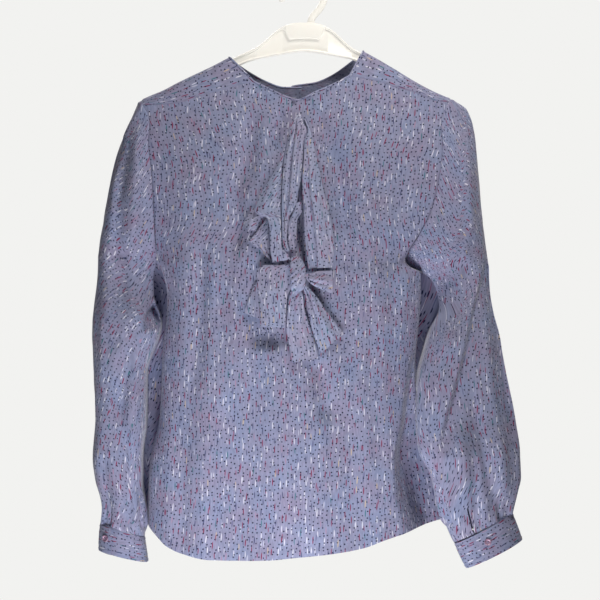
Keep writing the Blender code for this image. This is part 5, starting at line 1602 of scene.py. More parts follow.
@dataclass
class SleevePiece:
    """One sleeve with its gathers, its slit and its cuff.

    Attributes:
        form: Form of the body, for the armhole.
        left: Sleeve on the left in the front view.
        cloth_mm: Thickness of the cloth.
        cuff_mm: Thickness of the cuff, with its lining.
        crumple_mm: Height of the soft creases.
        band_rows: Rows of points down the cuff.
        band_columns: Points round it.
    """

    form: BodyForm
    left: bool
    cloth_mm: float = 0.55
    cuff_mm: float = 1.5
    crumple_mm: float = 1.5
    band_rows: int = 13
    band_columns: int = 150

    @property
    def side(self) -> str:
        """Word for its side."""
        return "left" if self.left else "right"

    @property
    def cuff(self) -> Cuff:
        """Its cuff's table."""
        return LEFT_CUFF if self.left else RIGHT_CUFF

    def rings(self, t: Array) -> Array:
        """Rings from the shoulder to the top of the cuff.

        Args:
            t: Places round each ring.

        Returns:
            Grid of points.
        """
        cap = LEFT_CAP if self.left else RIGHT_CAP
        table = LEFT_SLEEVE if self.left else RIGHT_SLEEVE
        angle = pi - 2 * pi * t if self.left else 2 * pi * t
        front_arm, back_arm = self.form.armhole(self.left)
        under_z = front_arm[-1, 2]
        rows = []
        count = ARMHOLE_ROWS * FINE_ROWS
        w = t[:, None]
        for row in range(count + 1):
            share = row / count
            out_z = between(cap[0].z, cap[-1].z, share ** 1.15)
            out_x = float(curve(cap, "z", "x", out_z))
            a = front_arm[row]
            d = back_arm[row]
            puff = 52 * smooth(0, 0.75, share) + 26 * smooth(0.6, 1, share)
            control_x = (8 * out_x - a[0] - d[0]) / 6
            control_z = (8 * out_z - a[2] - d[2]) / 6
            b = np.array([control_x, a[1] - puff, control_z])
            c = np.array([control_x, d[1] + puff, control_z])
            rows.append(a * (1 - w) ** 3 + 3 * b * w * (1 - w) ** 2 + 3 * c * w * w * (1 - w) + d * w ** 3)
        bottom = cuff_ring(self.cuff, angle, -0.045)
        bottom_z = bottom[:, 2].mean()
        gather_z = bottom_z + GATHER_REACH
        heights = np.concatenate([
            under_z + (gather_z - under_z) * np.linspace(0, 1, SLEEVE_MID_ROWS * FINE_MID + 1)[1:],
            between(gather_z, bottom_z, bend(GATHER_SHARES, FINE_LOW)[1:]),
        ])
        last = rows[-1]
        swell = np.sign(np.sin(2 * pi * t)) * np.abs(np.sin(2 * pi * t)) ** 0.8
        for z in heights:
            inner, outer, front, back = (
                float(curve(table, "z", name, z)) for name in ("inner", "outer", "front", "back")
            )
            x = inner + (outer - inner) * (1 - np.cos(2 * pi * t)) / 2
            y = (front + back) / 2 - (back - front) / 2 * swell
            ring = np.stack([x, y, np.full_like(x, z)], axis=-1)
            drawn = last + np.array([0.0, 0.0, z - under_z])
            drawn[:, 0] += (inner - last[0, 0]) * (1 + np.cos(2 * pi * t)) / 2
            ring = ring + (drawn - ring) * (1 - smooth(0, 90, under_z - z))
            ring = self.tucked(ring, t, z)
            rows.append(between(ring, bottom, smooth(gather_z - 6, bottom_z, z)))
        return np.array(rows)

    def tucked(self, ring: Array, t: Array, z: float) -> Array:
        """Carry the back layer on behind the side of the body.

        Args:
            ring: Smooth ring.
            t: Places round it.
            z: Its height.

        Returns:
            The ring with its back layer behind the side seam.
        """
        edges = LEFT_EDGE if self.left else RIGHT_EDGE
        inward = 1.0 if self.left else -1.0
        first, last = (-355.0, -676.0) if self.left else (-372.0, -500.0)
        here = float(z < first) * (1 - smooth(0, 24, last - z))
        behind = float(curve(edges, "z", "x", z)) + 4.0 * inward
        deep = float(self.form.depth(behind, z, False, False)) + 22.0
        start = smooth(0.76, 0.9, t)
        short = np.maximum((behind - ring[:, 0]) * inward, 0.0)
        ring[:, 0] += inward * short * start * (1 - smooth(0.95, 0.975, t)) * here
        deep = deep - 7.0 * smooth(0.94, 0.965, t)
        ring[:, 1] += np.maximum(deep - ring[:, 1], 0.0) * start * (1 - smooth(0.975, 1.0, t)) * here
        return ring

    def fold(self, rings: Array, t: Array) -> Array:
        """Press in the folds, the front layer's edge, gathers and creases.

        Args:
            rings: Smooth rings.
            t: Places round each ring.

        Returns:
            Folded rings.
        """
        folds = LEFT_SLEEVE_FOLDS if self.left else RIGHT_SLEEVE_FOLDS
        steps = LEFT_SLEEVE_STEP if self.left else RIGHT_SLEEVE_STEP
        fine = LEFT_SLEEVE_FINE if self.left else RIGHT_SLEEVE_FINE
        facing = np.sin(2 * pi * t)[None, :]
        front = smooth(0.0, 0.5, facing)
        back = smooth(0.0, 0.5, -facing)
        x = rings[..., 0].copy()
        z = rings[..., 2].copy()
        bottom_z = z[-1].mean()
        above = smooth(0, 30, z - bottom_z)
        middle = x.mean(axis=1, keepdims=True)
        rings[..., 1] -= (folds_at(folds, x, z) + folds_at(fine, x, z)) * front * above
        rings[..., 1] += folds_at(folds, 2 * middle - x, z) * back * above * 0.8
        rings[..., 1] += step_at(steps, x, z) * front * above
        closed = ARMHOLE_ROWS * FINE_ROWS
        rings[closed:, -1] = rings[closed:, 0]
        outward = rings - rings.mean(axis=1, keepdims=True)
        outward[..., 2] = 0
        outward /= np.maximum(np.linalg.norm(outward, axis=2, keepdims=True), 1e-9)
        rise = z - bottom_z
        reach = smooth(0, 9, rise) * (1 - smooth(14, GATHER_REACH, rise))
        wander = 0.5 * np.sin(rise / 21 + 5 * t[None, :] * 2 * pi)
        pleats = GATHER_HEIGHT * np.cos(2 * pi * GATHERS * t)[None, :] * reach
        pleats = pleats + 1.5 * np.cos(2 * pi * 19 * t[None, :] + 1.3 * wander) * smooth(0, 5, rise) * (
            1 - smooth(6, 44, rise)) * (0.6 + 0.4 * np.sin(2 * pi * 3 * t[None, :] + 1.0))
        across, along = self.cloth_map(rings)
        seam = np.arange(len(rings))[:, None] / closed
        calm = smooth(0.02, 0.25, np.minimum(t, 1 - t))[None, :] * (seam < 1) + (seam >= 1)
        soft = crumple(across, along, 31 + self.left, 30) + 0.4 * crumple(across, along, 41, 13, 2.0)
        blend = smooth(0, 0.06, np.minimum(t, 1 - t))[None, :]
        settled = smooth(2, 25, rise) * smooth(0, 30, along)
        pleats = pleats + self.crumple_mm * soft * calm * blend * settled
        return rings + outward * pleats[..., None]

    def cloth_map(self, rings: Array) -> tuple[Array, Array]:
        """Places on the flat sleeve, whose grain runs down its outer side.

        Args:
            rings: Grid of points.

        Returns:
            Distance across from the grain line, and distance down.
        """
        run = along_rows(rings)
        across = run - run[:, run.shape[1] // 2][:, None]
        step = np.linalg.norm(np.diff(rings, axis=0), axis=2)
        slip = np.diff(across, axis=0)
        fall = np.sqrt(np.maximum(step ** 2 - slip ** 2, (0.35 * step) ** 2))
        along = np.concatenate([np.zeros((1, rings.shape[1])), np.cumsum(fall, axis=0)])
        return across, along

    def grained(self, across: Array, along: Array) -> Array:
        """Turn the print, which leans outwards on the upper sleeve.

        Args:
            across: Distance from the grain line.
            along: Distance down.

        Returns:
            Places on the cloth.
        """
        leans = LEFT_GRAIN if self.left else RIGHT_GRAIN
        run = np.arange(0.0, 700.0, 5.0)
        lean = np.radians(curve(leans, "along", "degrees", run))
        drift = np.concatenate([[0.0], np.cumsum(np.sin(lean) * 5.0)[:-1]])
        fall = np.concatenate([[0.0], np.cumsum(np.cos(lean) * 5.0)[:-1]])
        here = np.interp(along, run, lean)
        return np.stack([
            across * np.cos(here) - np.interp(along, run, drift),
            across * np.sin(here) + np.interp(along, run, fall),
        ], axis=-1)

    def skin(self) -> Sheet:
        """Sleeve as one sheet, open at the armhole and closed to a tube below."""
        t = np.linspace(0, 1, SLEEVE_COLUMNS * FINE_RING + 1)
        rings = self.fold(self.rings(t), t)
        rows, columns = rings.shape[:2]
        ids = np.arange(rows * columns).reshape(rows, columns)
        closed = ARMHOLE_ROWS * FINE_ROWS
        ids[0, :] = ids[0, 0]
        ids[closed:, -1] = ids[closed:, 0]
        angle = pi - 2 * pi * t if self.left else 2 * pi * t
        slit_angle = self.cuff.end - 2 * pi if self.cuff.over == "end" else self.cuff.start
        slit = int(np.argmin(np.abs(np.cos(angle[: columns // 2]) - cos(slit_angle))))
        bottom_z = rings[-1, :, 2].mean()
        slit_row = int(np.argmax(rings[:, slit, 2] < bottom_z + self.cuff.slit_depth))
        keep = np.ones((rows - 1, columns - 1), bool)
        keep[slit_row:, slit] = False
        cloth = self.grained(*self.cloth_map(rings)) + np.array([0.0, 30.0 + 90.0 * self.left])
        skin = Sheet(rings, cloth, ids, keep, flip=self.left)
        dip = seam_dip(rings, left=True, right=True)
        dip *= 1 - smooth(0.8 * closed, closed, np.arange(len(dip)))[:, None]
        dip[0] = 0.0
        return skin.raised(dip)

    def band(self) -> Sheet:
        """Cuff band, whose free end lies over the other."""
        cuff = self.cuff
        angle = np.linspace(cuff.start, cuff.end, self.band_columns)
        down = np.linspace(0, 1, self.band_rows)
        grid = np.array([cuff_ring(cuff, angle, low) for low in down])
        outward = grid - grid.mean(axis=1, keepdims=True)
        outward /= np.linalg.norm(outward, axis=2, keepdims=True)
        if cuff.over == "end":
            lift = smooth(cuff.end - 1.25, cuff.end - 0.75, angle)
        else:
            lift = 1 - smooth(cuff.start + 0.8, cuff.start + 1.3, angle)
        edge = np.minimum(np.arange(self.band_rows), np.arange(self.band_rows)[::-1])[:, None]
        ease = 0.35 * np.sin(angle * 5 + 0.6)[None, :] * np.sin(np.linspace(0, pi, self.band_rows))[:, None]
        rolled = -0.35 * (edge == 0) + 0.15 * (edge == 1) - 0.12 * (edge == 2) + 0.25 * (edge > 2)
        grid = grid + outward * ((lift * 2.3)[None, :] + ease + rolled)[..., None]
        run = along_rows(grid)
        high = down[:, None] * np.linalg.norm(grid[-1] - grid[0], axis=1).mean()
        return Sheet(grid, np.stack(np.broadcast_arrays(high + 200, run), axis=-1))

    def build(self, wardrobe: Wardrobe) -> list:
        """Make the sleeve and its cuff.

        Args:
            wardrobe: Finishes.

        Returns:
            The objects.
        """
        sleeve = self.skin().build("cloth_sleeve_" + self.side, self.cloth_mm, wardrobe.cloth())
        dress(sleeve, "cloth", "sleeve_" + self.side)
        band = self.band().build("cloth_cuff_" + self.side, self.cuff_mm, wardrobe.cloth())
        dress(band, "cloth", "cuff_" + self.side)
        return [sleeve, band]


class Crease(NamedTuple):
    """A ridge or valley along a stretch of the tie, from shares of its width."""

    at_top: float
    at_end: float
    width: float
    height: float
    start: float
    end: float


class Stretch(NamedTuple):
    """One stretch of the tie: its rows, its creases, its grain and its flat size."""

    node: str
    rows: Sequence[Strip]
    creases: Sequence[Crease]
    turn: float
    wrinkle: float
    flat: tuple[float, float]


TIE = [
    Stretch("tie_strand_left", STRAND_LEFT, [
        Crease(0.9, 0.86, 0.05, -1.6, 0.1, 0.5), Crease(0.3, 0.2, 0.12, 1.0, 0.3, 0.6),
        Crease(0.55, 0.5, 0.07, -0.8, 0.55, 1.0), Crease(0.6, 0.55, 0.10, 0.8, 0.25, 0.55),
    ], 0.1, 0.5, (0.018, 0.157)),
    Stretch("tie_roll_left", ROLL_LEFT, [Crease(0.2, 0.25, 0.1, -0.6, 0.1, 0.9)], 0.5, 0.4, (0.02, 0.027)),
    Stretch("tie_fold_left", FOLD_LEFT, [
        Crease(0.35, 0.3, 0.05, -0.9, 0.1, 0.95), Crease(0.7, 0.7, 0.05, 0.7, 0.1, 0.95),
    ], 0.7, 0.3, (0.016, 0.052)),
    Stretch("tie_strand_centre", STRAND_CENTRE, [
        Crease(0.36, 0.42, 0.05, -2.6, 0.06, 0.9), Crease(0.45, 0.52, 0.06, 1.7, 0.05, 0.85),
        Crease(0.66, 0.74, 0.05, -2.0, 0.1, 0.62), Crease(0.16, 0.2, 0.08, 0.9, 0.2, 0.9),
        Crease(0.9, 0.9, 0.06, 0.8, 0.1, 0.6),
    ], 0.0, 0.5, (0.021, 0.178)),
    Stretch("tie_strand_cross", STRAND_CROSS, [
        Crease(0.5, 0.45, 0.08, -1.0, 0.15, 0.9), Crease(0.75, 0.75, 0.06, 0.7, 0.1, 0.9),
    ], 0.25, 0.4, (0.011, 0.062)),
    Stretch("tie_strand_right", STRAND_RIGHT, [
        Crease(0.12, 0.07, 0.035, 0.7, 0.3, 1.0), Crease(0.72, 0.66, 0.09, 0.9, 0.3, 0.9),
        Crease(0.86, 0.84, 0.04, -0.7, 0.45, 1.0), Crease(0.6, 0.55, 0.05, -0.6, 0.6, 1.0),
    ], -0.08, 0.45, (0.028, 0.192)),
    Stretch("tie_fold_right", FOLD_RIGHT, [
        Crease(0.3, 0.18, 0.07, -1.1, 0.05, 0.9), Crease(0.5, 0.45, 0.06, 1.0, 0.05, 0.95),
        Crease(0.68, 0.7, 0.06, -1.1, 0.1, 0.95), Crease(0.85, 0.88, 0.05, 0.7, 0.1, 1.0),
    ], 0.5, 0.6, (0.022, 0.035)),
    Stretch("tie_tip_left", TIP_LEFT, [Crease(0.4, 0.45, 0.1, 0.7, 0.1, 1.0)], -0.25, 0.4, (0.019, 0.043)),
    Stretch("tie_tail_centre", TAIL_CENTRE, [
        Crease(0.45, 0.3, 0.06, -1.8, 0.0, 0.55), Crease(0.7, 0.6, 0.07, 1.3, 0.0, 0.6),
        Crease(0.25, 0.2, 0.06, 0.8, 0.05, 0.8), Crease(0.85, 0.9, 0.06, -0.8, 0.1, 0.8),
    ], 0.05, 0.5, (0.028, 0.087)),
    Stretch("tie_tail_right", TAIL_RIGHT, [
        Crease(0.4, 0.35, 0.07, -1.7, 0.0, 0.7), Crease(0.65, 0.6, 0.07, 1.2, 0.05, 0.9),
        Crease(0.15, 0.12, 0.05, 0.8, 0.1, 1.0), Crease(0.88, 0.86, 0.05, -0.7, 0.2, 1.0),
    ], 0.12, 0.5, (0.025, 0.079)),
]


@dataclass
class Tie:
    """The narrow tie: its strands, its knot, its loop and its tails.

    Attributes:
        form: Form of the front that it lies on.
        cloth_mm: Thickness of its two layers.
        base_mm: Depth of its solids, whose outer skin it follows.
        fine: Rows for each row of a table.
        columns: Cells across a stretch.
        knot_half: Half the depth of the knot.
        crease_strength: How much deeper the creases are than their table.
    """

    form: BodyForm
    cloth_mm: float = 1.0
    base_mm: float = 1.4
    fine: int = 9
    columns: int = 44
    knot_half: float = 4.3
    crease_strength: float = 1.35

    def rows_of(self, rows: Sequence[Strip]) -> dict:
        """Columns of a table, read smoothly at finer steps.

        Args:
            rows: The table.

        Returns:
            Values of each column, upright so that they run down a grid.
        """
        return {name: bend(column(rows, name), self.fine)[:, None] for name in Strip._fields}

    def creased(self, stretch: Stretch, across: Array, along: Array) -> Array:
        """Height of a stretch's creases and wrinkles.

        Args:
            stretch: The stretch.
            across: Shares of its width.
            along: Shares of its length.

        Returns:
            Heights in millimetres.
        """
        total = np.zeros(np.broadcast_shapes(across.shape, along.shape))
        for crease in stretch.creases:
            place = between(crease.at_top, crease.at_end, along)
            ends = smooth(crease.start - 0.06, crease.start + 0.12, along) * (
                1 - smooth(crease.end - 0.12, crease.end + 0.06, along))
            total = total + self.crease_strength * crease.height * ends * np.exp(
                -(np.abs((across - place) / crease.width) ** 1.4))
        if stretch.node == "tie_strand_right":
            band = smooth(0.05, 0.1, across) * (1 - smooth(0.34, 0.40, across))
            total = total - 4.4 * smooth(0.25, 0.5, along) * band
        return total

    def strip(self, number: int, stretch: Stretch) -> Sheet:
        """Skin of one stretch over the front panel.

        Args:
            number: Its place in the table, which varies its wrinkles.
            stretch: The stretch.

        Returns:
            The skin.
        """
        row = self.rows_of(stretch.rows)
        across = np.linspace(0, 1, self.columns + 1)[None, :]
        along = np.linspace(0, 1, len(row["left_x"]))[:, None]
        x = between(row["left_x"], row["right_x"], across)
        z = between(row["left_z"], row["right_z"], across)
        lift = between(row["lift_left"], row["lift_right"], across)
        lift = lift + row["bow"] * np.sin(pi * across) + self.creased(stretch, across, along)
        lift = lift + stretch.wrinkle * 0.6 * crumple(x, z, 60 + number, 8, 2.2)
        rolled = np.minimum(across, 1 - across) * np.abs(row["right_x"] - row["left_x"])
        lift = np.maximum(lift, 0.45) - 0.5 * np.exp(-((rolled / 1.1) ** 2))
        points = self.form.surface(x, z, True, fine=False)
        points[..., 1] -= lift + self.base_mm
        flat_across = along_rows(points)
        flat_along = np.broadcast_to(down_columns(points)[:, None], flat_across.shape)
        turn = stretch.turn
        cloth = np.stack([
            flat_across * cos(turn) + flat_along * sin(turn) + 41.0 * number,
            flat_along * cos(turn) - flat_across * sin(turn) + 67.0 * number,
        ], axis=-1)
        return Sheet(points, cloth)

    def loop(self) -> Sheet:
        """Left loop of the bow: a flattened tube, closed above and open below."""
        row = self.rows_of(LOOP)
        turn = np.linspace(0, 2 * pi, 97)[None, :]
        across = (1 - np.cos(turn)) / 2
        along = np.linspace(0, 1, len(row["left_x"]))[:, None]
        x = between(row["left_x"], row["right_x"], across)
        z = between(row["left_z"], row["right_z"], across)
        facing = np.sin(turn)
        z = z - 7.0 * smooth(0.1, 0.5, -facing) * smooth(0.86, 1.0, along)
        rim = np.sign(facing) * np.abs(facing) ** 0.6
        lift = (row["lift_left"] + row["lift_right"]) / 2 + (row["lift_right"] - row["lift_left"]) / 2 * rim
        front = smooth(0.0, 0.5, facing)
        lift = lift + front * (
            0.55 * crumple(x, z, 71, 11, 2.4)
            - 1.5 * np.exp(-(np.abs((across - 0.86) / 0.05) ** 1.4)) * (1 - smooth(0.3, 0.8, along))
            + 0.9 * np.exp(-(np.abs((across - 0.3 - 0.1 * along) / 0.08) ** 1.4))
            - 0.9 * np.exp(-(np.abs((across - 0.55) / 0.06) ** 1.4)) * (1 - smooth(0.2, 0.6, along)))
        points = self.form.surface(x, z, True, fine=False)
        points[..., 1] -= np.maximum(lift, 0.4) + self.base_mm
        cloth = np.stack(np.broadcast_arrays(
            along_rows(points), down_columns(points)[:, None] + 500.0), axis=-1)
        return Sheet(points, cloth, joined(points, poles=False))

    def knot(self) -> Sheet:
        """Knot: a closed, flattened roll with wrinkles drawn to its corners."""
        row = self.rows_of(KNOT)
        turn = np.linspace(0, 2 * pi, 81)[None, :]
        across = (1 - np.cos(turn)) / 2
        along = np.linspace(0, 1, len(row["left_x"]))[:, None]
        x = between(row["left_x"], row["right_x"], across)
        z = between(row["left_z"], row["right_z"], across)
        facing = np.sin(turn)
        top = between(row["lift_left"], row["lift_right"], across) + row["bow"]
        lift = top - self.knot_half + self.knot_half * np.sign(facing) * np.abs(facing) ** 0.7
        front = smooth(0.0, 0.4, facing)
        for place, slope, high in (
            (-6.0, 0.75, -1.3), (-2.5, 0.8, 1.0), (1.5, 0.72, -1.4), (5.5, 0.65, 0.9),
            (9.0, 0.6, -1.1), (-10.5, 0.8, 0.7), (-14.0, 0.9, -0.8),
        ):
            away = (z + 375.0) - slope * (x + 6.0) - place
            lift = lift + front * high * np.exp(-(np.abs(away / 1.5) ** 1.4))
        points = self.form.surface(x, z, True, fine=False)
        points[..., 1] -= lift + self.base_mm
        ends = [np.repeat(points[k].mean(axis=0)[None], points.shape[1], axis=0)[None] for k in (0, -1)]
        points = np.concatenate([ends[0], points, ends[1]])
        girth = along_rows(points)
        run = np.broadcast_to(down_columns(points)[:, None], girth.shape)
        cloth = np.stack([girth * 0.77 + run * 0.64, run * 0.77 - girth * 0.64 + 620.0], axis=-1)
        return Sheet(points, cloth, joined(points))

    def build(self, wardrobe: Wardrobe) -> list:
        """Make every stretch of the tie.

        Args:
            wardrobe: Finishes.

        Returns:
            The objects.
        """
        # The tie wears the crepe whose ground is painted paler, as painted light
        cloth = wardrobe.doubled()
        layers = [(stretch.node, self.strip(number, stretch), stretch.flat)
                  for number, stretch in enumerate(TIE)]
        layers.append(("tie_loop_left", self.loop(), (0.083, 0.082)))
        made = [(node, skin.build(node + "_cloth", self.cloth_mm, cloth), flat)
                for node, skin, flat in layers]
        made.append(("tie_knot", self.knot().build_closed("tie_knot_cloth", cloth), (0.02, 0.057)))
        for node, piece, flat in made:
            dress(piece, "cloth", node)
        return [piece for _, piece, _ in made]


@dataclass
class Hanger:
    """White moulded hanger: an arm to each shoulder, a hub and a hook.

    Attributes:
        stations: Sections along the arms.
        flange: Height of the flange along each edge of the arms.
        web: Half the thickness of the web between the flanges.
        hub_top: Height of the hub's flat top.
        hub_height: How much taller the hub is than the flange.
        arch_z: Height of the web's lower edge under the hub.
        drop: Gap under the shoulder line.
        inner_radius: Inside of the hook's bend.
        width: Width of the hook.
        thickness: Its thickness.
        foot_x: Where the hook stands on the hub.
        bend_from: Angle where the hook's round bend starts, in degrees.
        bend_to: Angle where it ends.
    """

    stations: int = 180
    flange: float = 2.4
    web: float = 1.6
    hub_top: float = -57.0
    hub_height: float = 17.0
    arch_z: float = -91.0
    drop: float = 2.4
    inner_radius: float = 22.5
    width: float = 9.0
    thickness: float = 6.5
    foot_x: float = 10.0
    bend_from: float = -22.0
    bend_to: float = 197.0

    def arms(self) -> Sheet:
        """I section along the shoulder line, filled out to a plain block at the hub."""
        x = np.linspace(-196, 186, self.stations)
        height = curve(HANGER_ARMS, "x", "height", x)
        wide = curve(HANGER_ARMS, "x", "flange", x)
        web = np.full_like(x, self.web)
        top = curve(RIDGE, "x", "z", x) - self.drop - 1.4 * smooth(100, 89, np.abs(x + 8.5))
        top = top + (self.hub_top - top) * (1 - smooth(6, 62, np.abs(x - 2)))
        arch = self.arch_z - 0.2 * np.hypot(x - 2, 15.0)
        low = np.minimum(top - height, arch)
        lip = self.flange
        hood = lip + self.hub_height * (1 - smooth(18, 27, np.abs(x - 2)))
        half = [
            (wide * 0.35, top), (wide * 0.75, top - 0.35), (wide * 0.94, top - 0.95),
            (wide, top - 1.6), (wide * 0.96, top - hood + 0.2), (web + (wide - web) * 0.5, top - hood - 0.35),
            (web, top - hood - 1.0), (web, low + lip + 1.0), (web + (wide - web) * 0.5, low + lip + 0.35),
            (wide * 0.96, low + lip - 0.2), (wide, low + 1.4), (wide * 0.9, low + 0.6),
            (wide * 0.65, low + 0.15), (wide * 0.3, low),
        ]
        front = [np.stack([x, -deep, z], axis=-1) for deep, z in half]
        back = [np.stack([x, deep, z], axis=-1) for deep, z in half[::-1]]
        return capped(np.stack(front + back, axis=1))

    def hook(self) -> Sheet:
        """Hook that rises from the hub and bends over to the left."""
        radius = self.inner_radius + self.width / 2
        centre = np.array([0.0, -self.inner_radius])
        foot = np.array([self.foot_x, self.hub_top + 0.3])
        begin = centre + radius * np.array([cos(radians(self.bend_from)), sin(radians(self.bend_from))])
        t = np.linspace(0, 1, 22)[:, None]
        rise = foot + np.array([0, 9.0])
        lead = begin + np.array([-4.6, -11.5])
        stem = foot * (1 - t) ** 3 + 3 * rise * t * (1 - t) ** 2 + 3 * lead * t * t * (1 - t) + begin * t ** 3
        turn = np.radians(np.linspace(self.bend_from, self.bend_to, 90))[1:]
        path = np.concatenate([stem, centre + radius * np.stack([np.cos(turn), np.sin(turn)], axis=-1)])
        way = np.gradient(path, axis=0)
        way /= np.linalg.norm(way, axis=1, keepdims=True)
        way[0] = (0.0, 1.0)
        left = np.arange(len(path))[::-1]
        taper = np.sqrt(1 - (1 - np.clip((left + 0.6) / 4.5, 0, 1)) ** 2)[:, None]
        angle = 2 * pi * (np.arange(20) + 0.5) / 20
        flat = np.sign(np.cos(angle)) * np.abs(np.cos(angle)) ** 0.8 * self.width / 2
        deep = np.sin(angle) * self.thickness / 2
        across = np.stack([way[:, 1], -way[:, 0]], axis=-1)
        x = path[:, :1] + across[:, :1] * flat * taper
        z = path[:, 1:] + across[:, 1:] * flat * taper
        return capped(np.stack([x, deep * taper, z], axis=-1))

    def build(self, wardrobe: Wardrobe) -> list:
        """Make the arms with the hub, and the hook.

        Args:
            wardrobe: Finishes.

        Returns:
            The objects.
        """
        finish = [wardrobe.get(Finish.HANGER)]
        return [
            dress(form.build_closed("moulded_" + name, finish), "hanger_plastic", "hanger_" + name)
            for name, form in (("arms", self.arms()), ("hook", self.hook()))
        ]


@dataclass
class Button:
    """Turned button with a raised rim, four holes and the thread through them.

    Attributes:
        node: Solid that it stands for.
        centre: Middle of its back.
        normal: Way that it faces.
        radius: Half its width.
        thickness: Its thickness at the rim.
    """

    node: str
    centre: Array
    normal: Array
    radius: float = 4.3
    thickness: float = 2.2

    def axes(self) -> tuple[Array, Array, Array]:
        """Unit vectors out of the face and across it."""
        out = self.normal / np.linalg.norm(self.normal)
        side = np.cross(out, [0.0, 0.0, 1.0])
        side /= np.linalg.norm(side)
        return out, side, np.cross(side, out)

    def disc(self) -> Sheet:
        """Turned body as rings from the middle of the face to that of the back."""
        out, side, up = self.axes()
        share = [0.04, 0.1, 0.16, 0.22, 0.28, 0.34, 0.4, 0.48, 0.56, 0.62, 0.68, 0.74, 0.8, 0.87,
                 0.93, 0.975, 1.0, 0.99, 0.94, 0.85, 0.5]
        high = [0.5, 0.5, 0.5, 0.5, 0.5, 0.5, 0.5, 0.51, 0.55, 0.63, 0.76, 0.89, 0.97, 1.0,
                0.96, 0.82, 0.55, 0.3, 0.1, 0.0, 0.0]
        turn = 2 * pi * np.arange(48) / 48
        rings = []
        for k, (wide, rise) in enumerate(zip(share, high)):
            a = np.cos(turn) * wide
            b = np.sin(turn) * wide
            pits = sum(
                np.exp(-(((a - 0.2 * p) ** 2 + (b - 0.2 * q) ** 2) / 0.011)) for p in (-1, 1) for q in (-1, 1)
            )
            lift = self.thickness * (rise - 0.34 * pits * (k < 9))
            rings.append(
                self.centre + self.radius * (a[:, None] * side + b[:, None] * up) + lift[:, None] * out
            )
        return capped(np.array(rings))

    def threads(self) -> list:
        """Two stitches of thread that cross between the holes."""
        out, side, up = self.axes()
        made = []
        for way in (1, -1):
            run = np.linspace(-1, 1, 13)[:, None]
            sag = (1 - run ** 2) * 0.22
            path = self.centre + self.radius * 0.24 * run * (side + way * up)
            path = path + out * (self.thickness * 0.36 + sag + (0.12 + 0.1 * way) * (1 - run ** 2))
            wide = np.repeat(((side - way * up) / 2 ** 0.5 * 0.24)[None], 13, axis=0)
            deep = np.repeat((out * 0.2)[None], 13, axis=0)
            made.append(tube(path, wide, deep, 8))
        return made

    def build(self, wardrobe: Wardrobe) -> list:
        """Make the button and its thread.

        Args:
            wardrobe: Finishes.

        Returns:
            The objects.
        """
        made = [dress(self.disc().build_closed("pearly_" + self.node, [wardrobe.get(Finish.BUTTON)]),
                      "button", self.node)]
        for number, thread in enumerate(self.threads()):
            name = f"thread_{self.node}_{number}"
            made.append(dress(thread.build_closed(name, [wardrobe.get(Finish.THREAD)]), "cloth"))
        return made


@dataclass
class Buttons:
    """Cuff buttons, and the one that shows inside the back of the neck.

    Attributes:
        form: Form of the body.
        cuff_mm: How far the cuff buttons' backs lie over the cuff's form.
    """

    form: BodyForm
    cuff_mm: float = 2.8

    def on_cuff(self, node: str, cuff: Cuff, angle: float, low: float) -> Button:
        """Button on the overlap of a cuff.

        Args:
            node: Solid that it stands for.
            cuff: The cuff.
            angle: Place round it.
            low: Place down it.

        Returns:
            The button.
        """
        point = cuff_ring(cuff, np.array([angle]), low)[0]
        beside = cuff_ring(cuff, np.array([angle + 0.1]), low)[0]
        below = cuff_ring(cuff, np.array([angle]), low + 0.1)[0]
        normal = np.cross(beside - point, below - point)
        normal /= np.linalg.norm(normal) * (-1.0 if normal[1] > 0 else 1.0)
        return Button(node, point + normal * self.cuff_mm, normal)

    def build(self, wardrobe: Wardrobe) -> list:
        """Make the three buttons.

        Args:
            wardrobe: Finishes.

        Returns:
            The objects.
        """
        inside = self.form.surface(-8.0, -145.0, False, False) + np.array([0.0, 0.8, 0.0])
        buttons = [
            self.on_cuff("cuff_button_left", LEFT_CUFF, 0.86, 0.42),
            self.on_cuff("cuff_button_right", RIGHT_CUFF, 1.50, 0.42),
            Button("neck_button", inside, np.array([0.0, 1.0, 0.0]), 4.5),
        ]
        return [piece for button in buttons for piece in button.build(wardrobe)]


